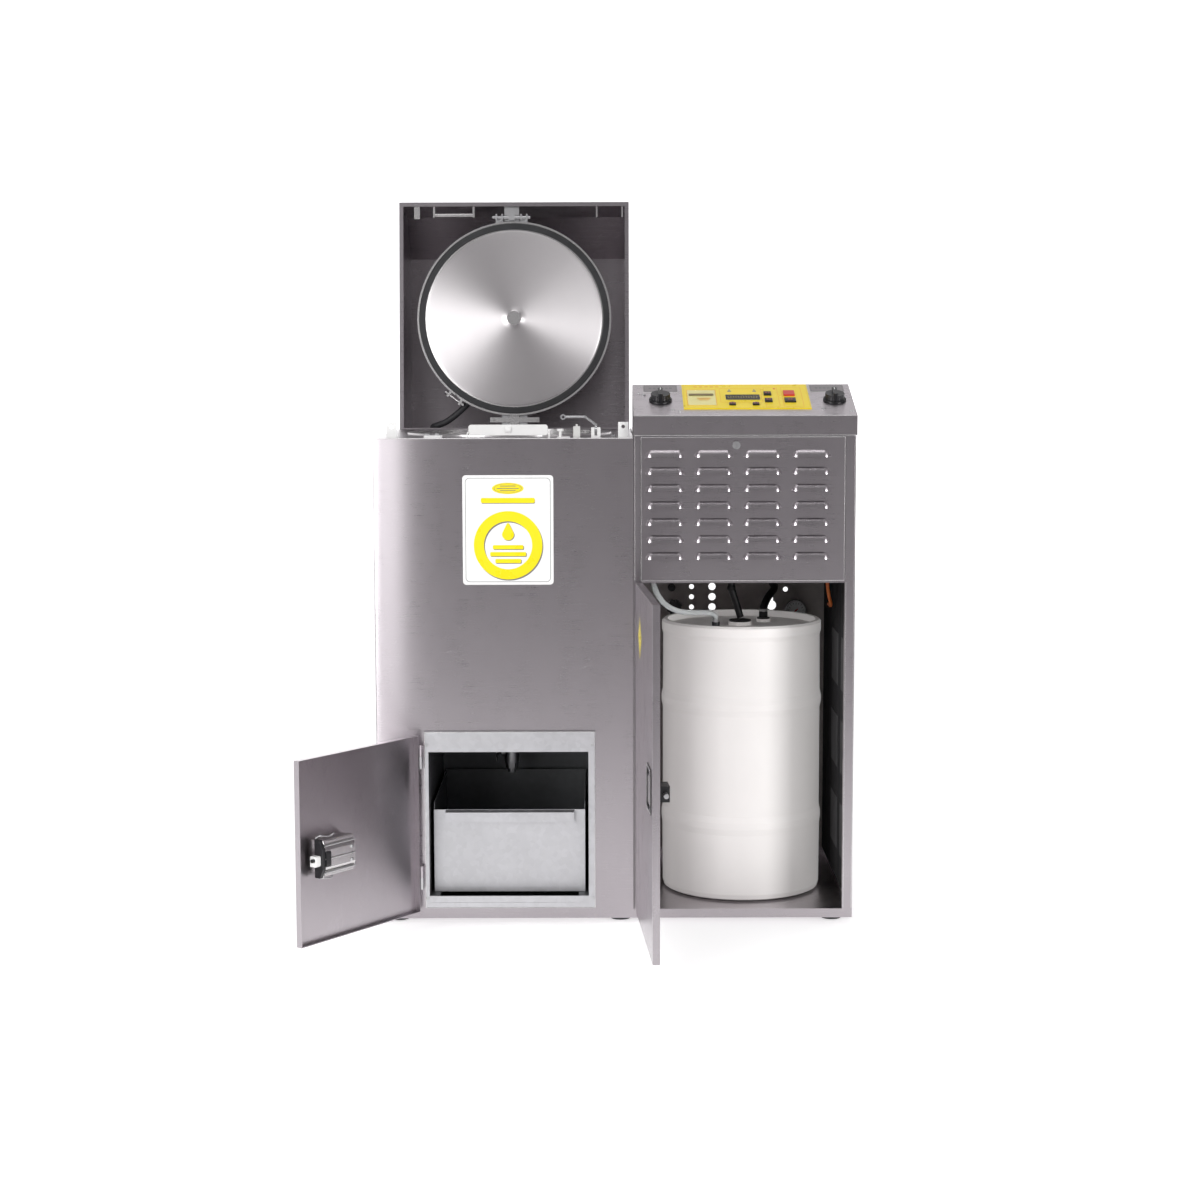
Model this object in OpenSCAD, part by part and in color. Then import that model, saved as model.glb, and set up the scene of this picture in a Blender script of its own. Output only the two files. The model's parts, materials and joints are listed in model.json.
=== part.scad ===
/* [Left cabinet] */
// Width of the left (vessel) cabinet
left_w = 561; // [540:1:600]
// Depth of both cabinets
cab_d = 615; // [600:1:640]
// Height of the left cabinet's top edge above the floor
deck_z = 1067; // [1050:1:1090]
// Sheet thickness of the cabinet panels
sheet = 1.5; // [1.2:0.1:2]

/* [Right cabinet] */
// Overall width across both cabinets
total_w = 1040; // [1020:1:1060]
// Gap between the two cabinets
cab_gap = 1; // [0.5:0.5:2]
// Height of the shelf over the drum compartment
shelf_z = 755; // [740:1:770]
// Height of the right cabinet under the console
right_z = 1071; // [1065:1:1090]

/* [Base] */
// Underside of the base tray above the floor
base_z = 14; // [12:1:30]
// Height of the base tray's rim
base_h = 20; // [16:1:30]
// Thickness of the base tray
base_t = 2; // [1.5:0.5:3]

/* [Cover] */
// Angle the cover stands open at
cover_open = 96; // [90:1:100]
// Outside width of the cover
cover_w = 558; // [540:1:558]
// Outside depth of the cover, front to back when shut
cover_d = 558; // [540:1:558]
// Height of the cover's rim when shut
cover_z = 1069; // [1069:1:1075]
// Overall height of the cover when shut
cover_h = 325; // [300:1:340]
// Height of the cover's front wall below the slope
cover_front_h = 215; // [180:1:240]
// Depth of the cover's sloped front corner
cover_slope_d = 90; // [60:1:120]
// Width of the rim flange turned in all round
rim_w = 10; // [8:1:12]

/* [Vessel] */
// Inside radius of the heated vessel
vessel_r = 214; // [200:1:216]
// Vessel wall thickness
vessel_t = 2; // [1.5:0.5:3]
// Height of the vessel's shoulder above the floor
vessel_low_z = 520; // [480:1:560]
// Outer radius of the vessel's top flange
flange_r = 234; // [230:1:236]
// Flange thickness
flange_t = 3; // [2:0.5:4]

/* [Doors] */
// Angle the bin door stands open at
bin_door_open = 126; // [90:0.5:140]
// Width of the bin door
bin_door_w = 384; // [376:1:390]
// Angle the drum door stands open at
drum_door_open = 86.5; // [80:0.5:95]
// Width of the drum door
drum_door_w = 448; // [444:1:450]
// Radius of the hinge pins
pin_r = 3; // [2.5:0.5:4]

/* [Bin] */
// Width of the collecting bin
bin_w = 333; // [320:1:338]
// Depth of the collecting bin, front to back
bin_d = 400; // [340:1:410]
// Height of the bin's back and side walls
bin_h = 200; // [180:1:204]
// Height of the bin's front wall
bin_front_h = 184; // [160:1:190]

/* [Drum] */
// Outer radius of the drum
drum_r = 184; // [170:1:186]
// Overall height of the drum
drum_h = 624; // [600:1:640]

/* [Console] */
// Depth of the console, front to back
console_d = 193; // [170:1:210]
// Height of the console's upright front edge
console_front = 43; // [36:1:50]
// Rise of the console's sloped face
console_rise = 64; // [50:1:80]
// Diameter of the two rotary knobs
knob_d = 50; // [44:1:54]

/* [Hidden] */
$fn = 48;
foot_x = 40;
foot_y = 60;
base_top = base_z + base_h;
right_x = left_w + cab_gap;
tiny = 0.5;
jacket_r = vessel_r + vessel_t;
run_gap = 0.05;
vessel_x = 281;
vessel_y = 346;
// Height of the drain valve's stem, the thickness of its closed ball and the radius of its bore
drain_z = 322;
drain_ball_t = 10;
drain_bore_r = 5;
hinge_y = 625;
hinge_z = 1058;
cover_back = hinge_y - 3;
cover_front = cover_back - cover_d;
cover_x = vessel_x - cover_w / 2;
drum_x = 814;
drum_y = 312;
drum_z = base_z + base_t + 1;
slope_a = atan(console_rise / console_d);
slope_z = right_z + 1 + console_front;
console_x = left_w;
console_w = total_w + 2 - console_x;
liner_x0 = 113;
liner_x1 = 462;
liner_z0 = 50;
liner_z1 = 385;
liner_y = 470;
bin_x = (liner_x0 + liner_x1) / 2 - bin_w / 2;
bin_y = 36;
bin_z = 65.5;
bd_x = 95;
bd_y = -12;
dd_x = 572;
dd_y = -12;
bin_door_z0 = 34;
bin_door_z1 = 424;
drum_door_z0 = 34;
drum_door_z1 = 757;
// Door hinges: barrel height, barrel radius and each leaf's lower end
leaf_h = 26;
barrel_r = 6.5;
bin_hinges = [82, 350];
drum_hinges = [130, 623];
// Left ends of the cover's three hinges, and the knuckle's radius and length
hinge_spots = [60, 250, 440];
knuckle_r = 6;
knuckle_l = 20;
// Inner edges of the posts either side of the drum doorway
post_x0 = 575;
post_x1 = 1018;
// Door bolts: centre lines with the doors shut
// Left side of the bin door's latch, with the door shut
latch_x = 337;
bin_bolt_y = 6;
bin_bolt_z = 214;
drum_bolt_y = 7;
drum_bolt_z = 376;
paddle_y = -13;
paddle_z = 404;
// Deck fittings: the clamp bar's and the support lever's pivots above the deck
bar_y = 45;
bar_up = 7;
bar_x0 = 204;
bar_x1 = 375.5;
lever_x = 480;
lever_y = 43;
lever_up = 14;
lever_r = 2.5;
// Fan, panel lock, feed pipe, gauge and valve centres
fan_x = 801;
fan_z = 913;
fan_r = 106;
lock_x = 782;
lock_z = 1051;
lock_r = 6;
pipe_x = 790;
pipe_y = 300;
pipe_r = 8;
gauge_x = 963;
gauge_z = 628;
valve_x = 667;
valve_z = 640;
vent_hole_x = [711, 761];
// Drum bungs: the feed pipe's, the clear hose's and the vent hose's
feed_bung = [810, 300];
fill_bung = [748, 178];
vent_bung = [868, 360];
drum_top = drum_z + drum_h - 14;
elbow_z = 712;
pipe_lean = atan2(feed_bung[0] - pipe_x, elbow_z - drum_top - 21);
// Console: x and distance up the slope of knobs, keys, window and display
knob_xs = [621, 1001];
knob_s = 92;
panel_lift = 0.02;
panel_t = 2.2;
recess_z = 1.2;
key_z = 1.4;
// Each key: x, distance up the slope, width, height
key_spots = [[777, 64, 14, 12], [828, 64, 14, 12], [857, 132, 16, 22], [857, 88, 16, 22],
             [904, 132, 24, 28], [904, 88, 24, 24]];
// Window and display: x, distance up the slope, width, height
window_spot = [681, 60, 61, 97];
display_spot = [764, 92, 75, 32];
// Vessel lid when shut: boss underside, flange seat and top
lid_boss_z = 1060;
lid_seat_z = 1076;
lid_top_z = 1078;
gasket_r = 231;
band_r = 236;
band_gap_at = 127;
// Bar that holds the vessel lid under the cover
spring_y = 100;
spring_z = 1078;
louvre_cols = 4;
louvre_rows = 7;
louvre_r = 18.7;
louvre_back = 9.7;
louvre_w = 85;
clear_route = [[605, 70, 753], [607, 72, 740], [616, 78, 718], [632, 88, 698], [652, 104, 684],
               [676, 122, 676], [702, 142, 673], [728, 162, 670], [744, 175, 664], [748, 178, 656],
               [748, 178, 648.3]];
vent_route = [[868, 360, 650.3], [868, 360, 656], [874, 376, 670], [886, 410, 684], [900, 460, 692],
              [906, 530, 694], [906, 590, 694]];
purge_route = [[1010, 300, 754], [1010, 300, 736], [1012, 302, 712], [1016, 310, 690], [1022, 330, 672],
               [1024, 360, 664], [1024, 392, 664]];
vapour_route = [[166, 552, 1090], [152, 566, 1088], [134, 582, 1086], [114, 596, 1086], [96, 603, 1090],
                [84, 606, 1102], [80, 607, 1120], [80, 607, 1140]];

module frame() { translate([-foot_x, -foot_y, 0]) children(); }
module box(x0, x1, y0, y1, z0, z1) { translate([x0, y0, z0]) cube([x1 - x0, y1 - y0, z1 - z0]); }
module rod_x(x0, x1, y, z, r) { translate([x0, y, z]) rotate([0, 90, 0]) cylinder(r = r, h = x1 - x0); }
module rod_y(x, y0, y1, z, r) { translate([x, y0, z]) rotate([-90, 0, 0]) cylinder(r = r, h = y1 - y0); }
module rod_z(x, y, z0, z1, r) { translate([x, y, z0]) cylinder(r = r, h = z1 - z0); }
module prism_x(x0, x1, points) {
  translate([x0, 0, 0]) rotate([90, 0, 90]) linear_extrude(x1 - x0) polygon(points);
}
module cover_pose() {
  translate([0, hinge_y, hinge_z]) rotate([-cover_open, 0, 0]) translate([0, -hinge_y, -hinge_z]) children();
}
module bin_door_pose() {
  translate([bd_x, bd_y, 0]) rotate([0, 0, -bin_door_open]) translate([-bd_x, -bd_y, 0]) children();
}
module drum_door_pose() {
  translate([dd_x, dd_y, 0]) rotate([0, 0, -drum_door_open]) translate([-dd_x, -dd_y, 0]) children();
}
module on_slope(x, s) {
  translate([x, -2 + s * cos(slope_a), slope_z + s * sin(slope_a)]) rotate([slope_a, 0, 0]) children();
}
// A round tube swept along a route: ring points, then side and end faces
function unit(v) = v / norm(v);
function heading(p, i) = i == 0 ? unit(p[1] - p[0])
  : i == len(p) - 1 ? unit(p[i] - p[i - 1]) : unit(p[i + 1] - p[i - 1]);
function across(d) = abs(d[2]) > 0.8 ? unit(cross(d, [0, 1, 0])) : unit(cross(d, [0, 0, 1]));
function side_dirs(p, i) = i == 0 ? across(heading(p, 0))
  : unit(side_dirs(p, i - 1) - heading(p, i) * (side_dirs(p, i - 1) * heading(p, i)));
module hose(p, r, n) {
  rings = [for (i = [0:len(p) - 1]) let (d = heading(p, i), a = side_dirs(p, i), b = cross(d, a))
    for (k = [0:n - 1]) p[i] + r * (a * cos(360 * k / n) + b * sin(360 * k / n))];
  walls = [for (i = [0:len(p) - 2]) for (k = [0:n - 1])
    [i * n + k, (i + 1) * n + k, (i + 1) * n + (k + 1) % n, i * n + (k + 1) % n]];
  last = (len(p) - 1) * n;
  ends = [[for (k = [0:n - 1]) k], [for (k = [0:n - 1]) last + n - 1 - k]];
  polyhedron(points = rings, faces = concat(walls, ends), convexity = 4);
}
// A hex head with its washer face, standing along +Z
module hex_head(af, h) { cylinder(r = af / sqrt(3), h = h, $fn = 6); }

module base_frame() color("silver") frame() difference() {
  box(0, total_w, 0, cab_d, base_z, base_top);
  box(base_t, total_w - base_t, base_t, cab_d - base_t, base_z + base_t, base_top + 1);
}

module levelling_feet() color("dimgray") frame()
  for (x = [foot_x, 532, 1000]) for (y = [foot_y, 555]) {
    rod_z(x, y, 0, 5, 22);
    rod_z(x, y, 5, 8, 12);
    rod_z(x, y, 8, base_z, 5);
    translate([x, y, base_z - 4]) hex_head(17, 4);
  }

module left_shell() color("silver") frame() {
  box(0, sheet, 0, cab_d, base_top, deck_z);
  box(left_w - sheet, left_w, 0, cab_d, base_top, deck_z);
  difference() {
    box(0, left_w, cab_d - sheet, cab_d, base_top, deck_z);
    for (z = [120:40:320]) box(180, 380, cab_d - 3, cab_d + 1, z, z + 12);
  }
}

module left_front_panel() color("silver") frame() difference() {
  box(sheet, left_w - sheet, 0, sheet, base_top, deck_z);
  box(liner_x0 - sheet, liner_x1 + sheet, -1, sheet + 1, liner_z0 - sheet, liner_z1 + sheet);
}

module bin_liner() color("lightsteelblue") frame() {
  difference() {
    box(liner_x0 - 9, liner_x1 + 15, -5, 0, 38, 430);
    box(liner_x0, liner_x1, -6, 1, liner_z0, liner_z1);
  }
  box(liner_x0 - sheet, liner_x0, -1, liner_y, liner_z0 - sheet, liner_z1 + sheet);
  difference() {
    box(liner_x1, liner_x1 + sheet, -1, liner_y, liner_z0 - sheet, liner_z1 + sheet);
    box(liner_x1 - 1, liner_x1 + 3, 1, 12, 206, 222);
  }
  box(liner_x0 - sheet, liner_x1 + sheet, -1, liner_y, liner_z0 - sheet, liner_z0);
  box(liner_x0 - sheet, liner_x1 + sheet, liner_y - sheet, liner_y, liner_z0 - sheet, liner_z1 + sheet);
  box(liner_x0, liner_x1, -4, -1.5, liner_z0 - 1, 64.5);
  for (x = [liner_x0, liner_x1 - 22]) difference() {
    box(x, x + 22, -2, liner_y - 1, liner_z0 - 1, 65);
    box(x + sheet, x + 22 - sheet, -1, liner_y, liner_z0, 65 - sheet);
  }
}

module top_deck() color("silver") frame() difference() {
  union() {
    box(sheet, left_w - sheet, sheet, cab_d - sheet, deck_z - sheet, deck_z);
    box(sheet, left_w - sheet, sheet, 2 * sheet, deck_z - 25, deck_z);
  }
  rod_z(vessel_x, vessel_y, deck_z - 5, deck_z + 5, vessel_r + vessel_t + 1);
}

module vessel() color("gainsboro") frame() translate([vessel_x, vessel_y, 0]) rotate_extrude($fn = 96)
  polygon([[12, vessel_low_z - 70], [12, vessel_low_z - 100], [14, vessel_low_z - 100],
    [14, vessel_low_z - 72], [jacket_r, vessel_low_z], [jacket_r, deck_z], [flange_r, deck_z],
    [flange_r, deck_z + flange_t], [vessel_r, deck_z + flange_t], [vessel_r, vessel_low_z + 1]]);

module heater_jacket() color("darkgray") frame() translate([vessel_x, vessel_y, 0]) {
  rotate_extrude($fn = 96)
    polygon([[jacket_r, 560], [jacket_r + 15, 560], [jacket_r + 15, 1000], [jacket_r, 1000]]);
  for (z = [620, 780, 940]) rotate_extrude($fn = 96)
    translate([jacket_r + 14.5, z]) square([2, 30]);
}

// The ball is closed and solid with the body, so the bore stops on each side of it
module drain_valve() color("gold") frame() translate([vessel_x, vessel_y, 0]) difference() {
  union() {
    translate([0, 0, 300]) cylinder(r = 17, h = 46);
    translate([0, 0, 346]) cylinder(r = 12, h = 62);
    translate([0, 0, 400]) hex_head(36, 19.8);
    translate([0, 0, 286]) hex_head(24, 14);
    translate([0, 0, 276]) cylinder(r = 9, h = 10);
    translate([-24, 0, drain_z]) rotate([0, 90, 0]) cylinder(r = 8, h = 12);
  }
  translate([0, 0, 270]) cylinder(r = drain_bore_r, h = drain_z - drain_ball_t / 2 - 270);
  translate([0, 0, drain_z + drain_ball_t / 2]) cylinder(r = drain_bore_r, h = 100);
  translate([-30, 0, drain_z]) rotate([0, 90, 0]) cylinder(r = 3 + run_gap, h = 18.5);
}

module drain_handle() color("black") frame() translate([vessel_x, vessel_y, drain_z]) {
  translate([-31, 0, 0]) rotate([0, 90, 0]) cylinder(r = 3, h = 18);
  translate([-34, 0, 0]) rotate([0, 90, 0]) cylinder(r = 8, h = 3);
  difference() {
    box(-34, -31, -90, 0, -6, 6);
    translate([-40, -82, 0]) rotate([0, 90, 0]) cylinder(r = 2.5, h = 20);
  }
}

module bar_bracket(x) {
  box(x, x + 4.5, bar_y - 11, bar_y + 11, deck_z, deck_z + 2);
  difference() {
    box(x + 2, x + 4, bar_y - 9, bar_y + 9, deck_z, deck_z + 12);
    rod_x(x, x + 6, bar_y, deck_z + bar_up, 2 + run_gap);
  }
}

module deck_brackets() color("white") frame() {
  for (x = [28, 528]) difference() {
    union() {
      box(x, x + 22, 22, 24, deck_z, deck_z + 34);
      box(x, x + 22, 22, 48, deck_z, deck_z + 2);
    }
    rod_y(x + 11, 20, 26, deck_z + 24, 4);
  }
  bar_bracket(bar_x0 - 5);
  bar_bracket(bar_x1 + 0.5);
  box(396, 424, 30, 58, deck_z, deck_z + 2);
  rod_z(403, 40, deck_z + 2, deck_z + 14, 3);
  rod_z(403, 40, deck_z + 14, deck_z + 19, 7);
  difference() {
    box(lever_x - 10, lever_x + 10, 34, 52, deck_z, deck_z + 22);
    box(lever_x - 3, lever_x + 3, 33, 53, deck_z + 4, deck_z + 23);
    rod_x(lever_x - 11, lever_x + 11, lever_y, deck_z + lever_up, lever_r + run_gap);
  }
  box(108, 146, 26, 56, deck_z, deck_z + 5);
}

module clamp_bar() color("whitesmoke") frame() difference() {
  union() {
    rod_x(bar_x0 - 5.5, bar_x1 + 6, bar_y, deck_z + bar_up, 2);
    box(bar_x0, bar_x1, bar_y - 5, bar_y + 5, deck_z + 5, deck_z + 28);
    rod_x(vessel_x + 3, vessel_x + 15, bar_y, deck_z + 17, 9);
  }
  for (x = [bar_x0, bar_x1]) for (z = [deck_z + 5, deck_z + 28]) translate([x, bar_y, z]) rotate([0, 45, 0])
    cube([5, 12, 5], center = true);
}

module support_lever() color("silver") frame() {
  bend_z = deck_z + lever_up + 13;
  top_z = deck_z + lever_up + 30.3;
  rod_x(lever_x - 11, lever_x + 11, lever_y, deck_z + lever_up, lever_r);
  rod_x(lever_x - 2.6, lever_x + 2.6, lever_y, deck_z + lever_up, 8);
  rod_z(lever_x, lever_y, deck_z + lever_up, bend_z, lever_r);
  rod_y(lever_x, lever_y - 3, lever_y + 3, bend_z, 3.2);
  translate([lever_x, lever_y, bend_z]) rotate([0, -53, 0]) cylinder(r = lever_r, h = 28.8);
  rod_y(lever_x - 23, lever_y - 3, lever_y + 3, top_z, 3.2);
  rod_x(414, lever_x - 23, lever_y, top_z, lever_r);
  difference() {
    rod_y(409, lever_y - 3, lever_y + 3, top_z, 6);
    rod_y(409, lever_y - 4, lever_y + 4, top_z, 3);
  }
}

module limit_switch() color("lightgray") frame() {
  box(431, 446, 34, 60, deck_z, deck_z + 24);
  rod_z(438.5, 54, deck_z + 24, deck_z + 28, 2.5);
}

module right_shell() color("silver") frame() {
  box(right_x, right_x + sheet, 0, cab_d, base_top, right_z);
  difference() {
    box(total_w - sheet, total_w, 0, cab_d, base_top, right_z);
    for (z0 = [452, 128]) for (z = [z0:19:z0 + 76]) box(total_w - 3, total_w + 1, 270, 590, z, z + 8);
  }
  difference() {
    box(right_x, total_w, cab_d - sheet, cab_d, base_top, right_z);
    for (z = [633, 658, 683]) {
      rod_y(vent_hole_x[0], cab_d - 4, cab_d + 2, z, 6);
      rod_y(vent_hole_x[1], cab_d - 4, cab_d + 2, z, 8.8);
    }
    rod_y(940, cab_d - 4, cab_d + 2, 676, 6);
    rod_y(906, cab_d - 4, cab_d + 2, 637, 11.5);
    box(902, 910, cab_d - 4, cab_d + 2, 640, 656);
    rod_y(fan_x, cab_d - 4, cab_d + 2, fan_z, fan_r + 14);
  }
}

module right_frame() color("silver") frame() {
  box(right_x + sheet, post_x0, 0, sheet, base_top, right_z);
  box(post_x0 - sheet, post_x0, 0, 14, base_top, right_z);
  box(post_x1, total_w - sheet, 0, sheet, base_top, right_z);
  difference() {
    box(post_x1, post_x1 + sheet, 0, 16, base_top, right_z);
    box(post_x1 - 1, post_x1 + 3, 2, 14, drum_bolt_z - 12, drum_bolt_z + 12);
  }
  difference() {
    box(right_x + sheet, total_w - sheet, 16, cab_d - sheet, shelf_z - sheet, shelf_z);
    rod_z(605, 70, shelf_z - 5, shelf_z + 5, 7);
    rod_z(pipe_x, pipe_y, shelf_z - 5, shelf_z + 5, 12);
    rod_z(1010, 300, shelf_z - 5, shelf_z + 5, 6);
  }
  box(post_x0, post_x1, 0, sheet, shelf_z - 1, shelf_z + 3);
  box(post_x0, post_x1, 0, sheet, right_z - 10, right_z);
  box(right_x + sheet, total_w - sheet, sheet, cab_d - sheet, right_z - sheet, right_z);
  box(post_x0, post_x1, sheet, 16, shelf_z - sheet, shelf_z);
}

module louvre_capsule(r) {
  x1 = louvre_w / 2 - sqrt(louvre_r * louvre_r - louvre_back * louvre_back);
  rotate([0, 90, 0]) translate([0, 0, -x1]) cylinder(r = r, h = 2 * x1);
  for (s = [-1, 1]) translate([s * x1, 0, 0]) sphere(r = r);
}
module each_louvre() {
  for (c = [0:louvre_cols - 1]) for (r = [0:louvre_rows - 1])
    translate([628.5 + c * 105, louvre_back - 2, 805 + r * 36.7]) children();
}
module louvre_panel() color("silver") frame() difference() {
  union() {
    box(576, 1017, -2, 0, shelf_z + 4, right_z - 1);
    intersection() {
      each_louvre() louvre_capsule(louvre_r);
      box(576, 1017, -20, -1, shelf_z, right_z);
    }
  }
  each_louvre() difference() {
    louvre_capsule(louvre_r - 1.2);
    translate([-45, -30, -40]) cube([90, 60, 40]);
  }
  each_louvre() translate([-45, -30, -20]) cube([90, 28 - louvre_back + 2, 20]);
  rod_y(lock_x, -5, 5, lock_z, lock_r + run_gap);
}

module panel_lock() color("dimgray") frame() difference() {
  union() {
    rod_y(lock_x, -5, 12, lock_z, lock_r);
    rod_y(lock_x, -6, -3, lock_z, lock_r + 2.5);
    box(lock_x - 4, lock_x + 4, 9, 12, lock_z - 10, lock_z + 13);
  }
  box(lock_x - 1, lock_x + 1, -7, -4.5, lock_z - 6, lock_z + 6);
}

module condenser_coil() color("darkgoldenrod") frame() {
  for (z = [800:26:1034]) rod_x(590, 1010, 240, z, 6);
  for (i = [0:20]) difference() {
    box(600 + i * 20, 601 + i * 20, 222, 258, 786, 1048);
    for (z = [800:26:1034]) rod_x(598 + i * 20, 603 + i * 20, 240, z, 6);
  }
  box(584, 590, 222, 258, 766, 1048);
  box(1010, 1016, 222, 258, 766, 1048);
  for (x = [584, 1010]) box(x, x + 6, 222, 258, shelf_z, 767);
}

module fan_motor() color("dimgray") frame() {
  difference() {
    box(fan_x - 127, fan_x + 127, 560, 563, shelf_z, 1040);
    rod_y(fan_x, 558, 565, fan_z, fan_r + 9);
  }
  box(fan_x - 127, fan_x + 127, 530, 561, shelf_z, shelf_z + 2);
  difference() {
    union() {
      rod_y(fan_x, 500, 545, fan_z, 36);
      for (a = [0, 90, 180, 270]) translate([fan_x, 0, fan_z]) rotate([0, a, 0]) {
        box(30, fan_r + 14, 540, 544, -5, 5);
        box(fan_r + 8, fan_r + 15, 540, 561, -5, 5);
      }
    }
    rod_y(fan_x, 520, 546, fan_z, 4 + run_gap);
  }
}

module fan_blades() color("black") frame() translate([fan_x, 0, fan_z]) {
  rod_y(0, 522, 566, 0, 4);
  rod_y(0, 548, 570, 0, 22);
  for (i = [0:4]) rotate([0, i * 72, 0]) intersection() {
    translate([62, 559, 0]) rotate([28, 0, 0]) cube([90, 1.6, 40], center = true);
    rod_y(0, 540, 580, 0, fan_r);
  }
}

module console_housing() color("silver") frame() difference() {
  prism_x(console_x, console_x + console_w, [[-2, right_z + 1], [-2, slope_z],
    [console_d - 2, slope_z + console_rise], [console_d - 2, right_z + 1]]);
  prism_x(console_x + sheet, console_x + console_w - sheet, [[-2 + sheet, right_z + 1 + sheet],
    [-2 + sheet, slope_z - sheet], [console_d - 2 - sheet, slope_z + console_rise - 2 * sheet],
    [console_d - 2 - sheet, right_z + 1 + sheet]]);
  for (x = knob_xs) on_slope(x, knob_s) translate([0, 0, -10]) cylinder(r = 3 + run_gap, h = 20);
  box(640, 960, 40, 150, right_z - 1, right_z + 4);
}

module key_cap(i, gap, z0, z1) {
  on_slope(key_spots[i][0], key_spots[i][1])
    box(-key_spots[i][2] / 2 - gap, key_spots[i][2] / 2 + gap, -key_spots[i][3] / 2 - gap,
      key_spots[i][3] / 2 + gap, z0, z1);
}

module slope_box(spot, z0, z1) { on_slope(spot[0], spot[1]) box(0, spot[2], 0, spot[3], z0, z1); }

module control_panel() color("gold") frame() difference() {
  slope_box([670, 38, 277, 158], panel_lift, panel_t);
  for (i = [0:5]) key_cap(i, 0.4, -1, 4);
  slope_box(window_spot, recess_z, 3);
  slope_box(display_spot, recess_z, 3);
}

module display_window() color("gray") frame() {
  slope_box(window_spot, recess_z, 2.6);
  slope_box(display_spot, recess_z, 2.6);
}

module label_plates() color("white") frame() {
  difference() {
    box(192, 388, -1, 0, 751, 988);
    for (x = [192, 388]) for (z = [751, 988]) box(x - 8, x + 8, -2, 1, z - 8, z + 8);
  }
  for (x = [200, 380]) for (z = [759, 980]) rod_y(x, -1, 0, z, 8);
  for (x = [585, 953]) slope_box([x, 150, 75, 44], panel_lift, 0.8);
}

module knob(x) {
  on_slope(x, knob_s) difference() {
    union() {
      translate([0, 0, 1]) cylinder(r = knob_d / 2, h = 5);
      translate([0, 0, 5]) cylinder(r = knob_d / 2 - 4, h = 13);
      box(-5, 5, -knob_d / 2 + 3, knob_d / 2 - 1, 5, 24);
      translate([0, 0, -9]) cylinder(r = 3, h = 12);
    }
    for (a = [0:30:330]) rotate([0, 0, a + 15]) translate([knob_d / 2 - 1, 0, 5]) cylinder(r = 3.6, h = 20);
  }
}
module knob_left() color("black") frame() knob(knob_xs[0]);
module knob_right() color("black") frame() knob(knob_xs[1]);
module key_left() color("black") frame() key_cap(0, 0, key_z, 4.4);
module key_right() color("black") frame() key_cap(1, 0, key_z, 4.4);
module key_up() color("black") frame() key_cap(2, 0, key_z, 4.8);
module key_down() color("black") frame() key_cap(3, 0, key_z, 4.8);
module key_stop() color("red") frame() key_cap(4, 0, key_z, 6);
module key_start() color("black") frame() key_cap(5, 0, key_z, 5.4);

module drum() color("ivory") frame() translate([drum_x, drum_y, drum_z]) difference() {
  rotate_extrude($fn = 96)
    polygon([[0, 0], [drum_r - 14, 0], [drum_r - 6, 4], [drum_r - 3, 14], [drum_r - 2, 150], [drum_r, 164],
      [drum_r, 178], [drum_r - 3, 192], [drum_r - 3, 420], [drum_r, 434], [drum_r, 448], [drum_r - 3, 462],
      [drum_r - 4, 590], [drum_r - 1, 600], [drum_r - 1, drum_h - 5], [drum_r - 6, drum_h],
      [drum_r - 14, drum_h], [drum_r - 18, drum_h - 14], [0, drum_h - 14]]);
  rotate_extrude($fn = 96)
    polygon([[0, 4], [drum_r - 24, 4], [drum_r - 13, 9], [drum_r - 8, 22], [drum_r - 8, 592],
      [drum_r - 24, drum_h - 18], [0, drum_h - 18]]);
  translate([-drum_x, -drum_y, drum_h - 30]) {
    translate(feed_bung) cylinder(r = 20, h = 40);
    translate(fill_bung) cylinder(r = 12, h = 40);
    translate(vent_bung) cylinder(r = 12, h = 40);
  }
}

module bung(at, neck_r, cap_r, cap_h) {
  translate([at[0], at[1], drum_top - 6]) cylinder(r = neck_r - 0.1, h = 6);
  translate([at[0], at[1], drum_top]) cylinder(r = cap_r, h = cap_h);
}
module drum_fittings() color("gainsboro") frame() difference() {
  union() {
    bung(feed_bung, 20, 25, 12);
    bung(fill_bung, 12, 15, 10);
    bung(vent_bung, 12, 15, 10);
    translate([fill_bung[0], fill_bung[1], drum_top + 10]) cylinder(r = 9, h = 11);
    translate([vent_bung[0], vent_bung[1], drum_top + 10]) cylinder(r = 10, h = 13);
    rod_z(pipe_x, pipe_y, elbow_z, shelf_z + 10, pipe_r);
    translate([pipe_x, pipe_y, elbow_z]) sphere(r = pipe_r + 2);
    translate([pipe_x, pipe_y, elbow_z]) rotate([0, 180 - pipe_lean, 0])
      cylinder(r = pipe_r, h = elbow_z - drum_top - 14);
    translate([pipe_x, pipe_y, shelf_z]) hex_head(30, 8);
    translate([pipe_x, pipe_y, shelf_z - 10]) hex_head(30, 8.5);
    translate([605, 70, shelf_z]) cylinder(r = 10, h = 16);
  }
  translate([fill_bung[0], fill_bung[1], drum_top - 11]) cylinder(r = 4, h = 40);
  translate([vent_bung[0], vent_bung[1], drum_top - 11]) cylinder(r = 5, h = 40);
  rod_z(pipe_x, pipe_y, elbow_z + 8, shelf_z + 11, pipe_r - 2.5);
}

module clear_hose() color("aliceblue") frame() hose(clear_route, 6, 12);
module vent_hose() color("black") frame() hose(vent_route, 9, 12);
module purge_hose() color("orangered") frame() hose(purge_route, 4, 12);

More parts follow.
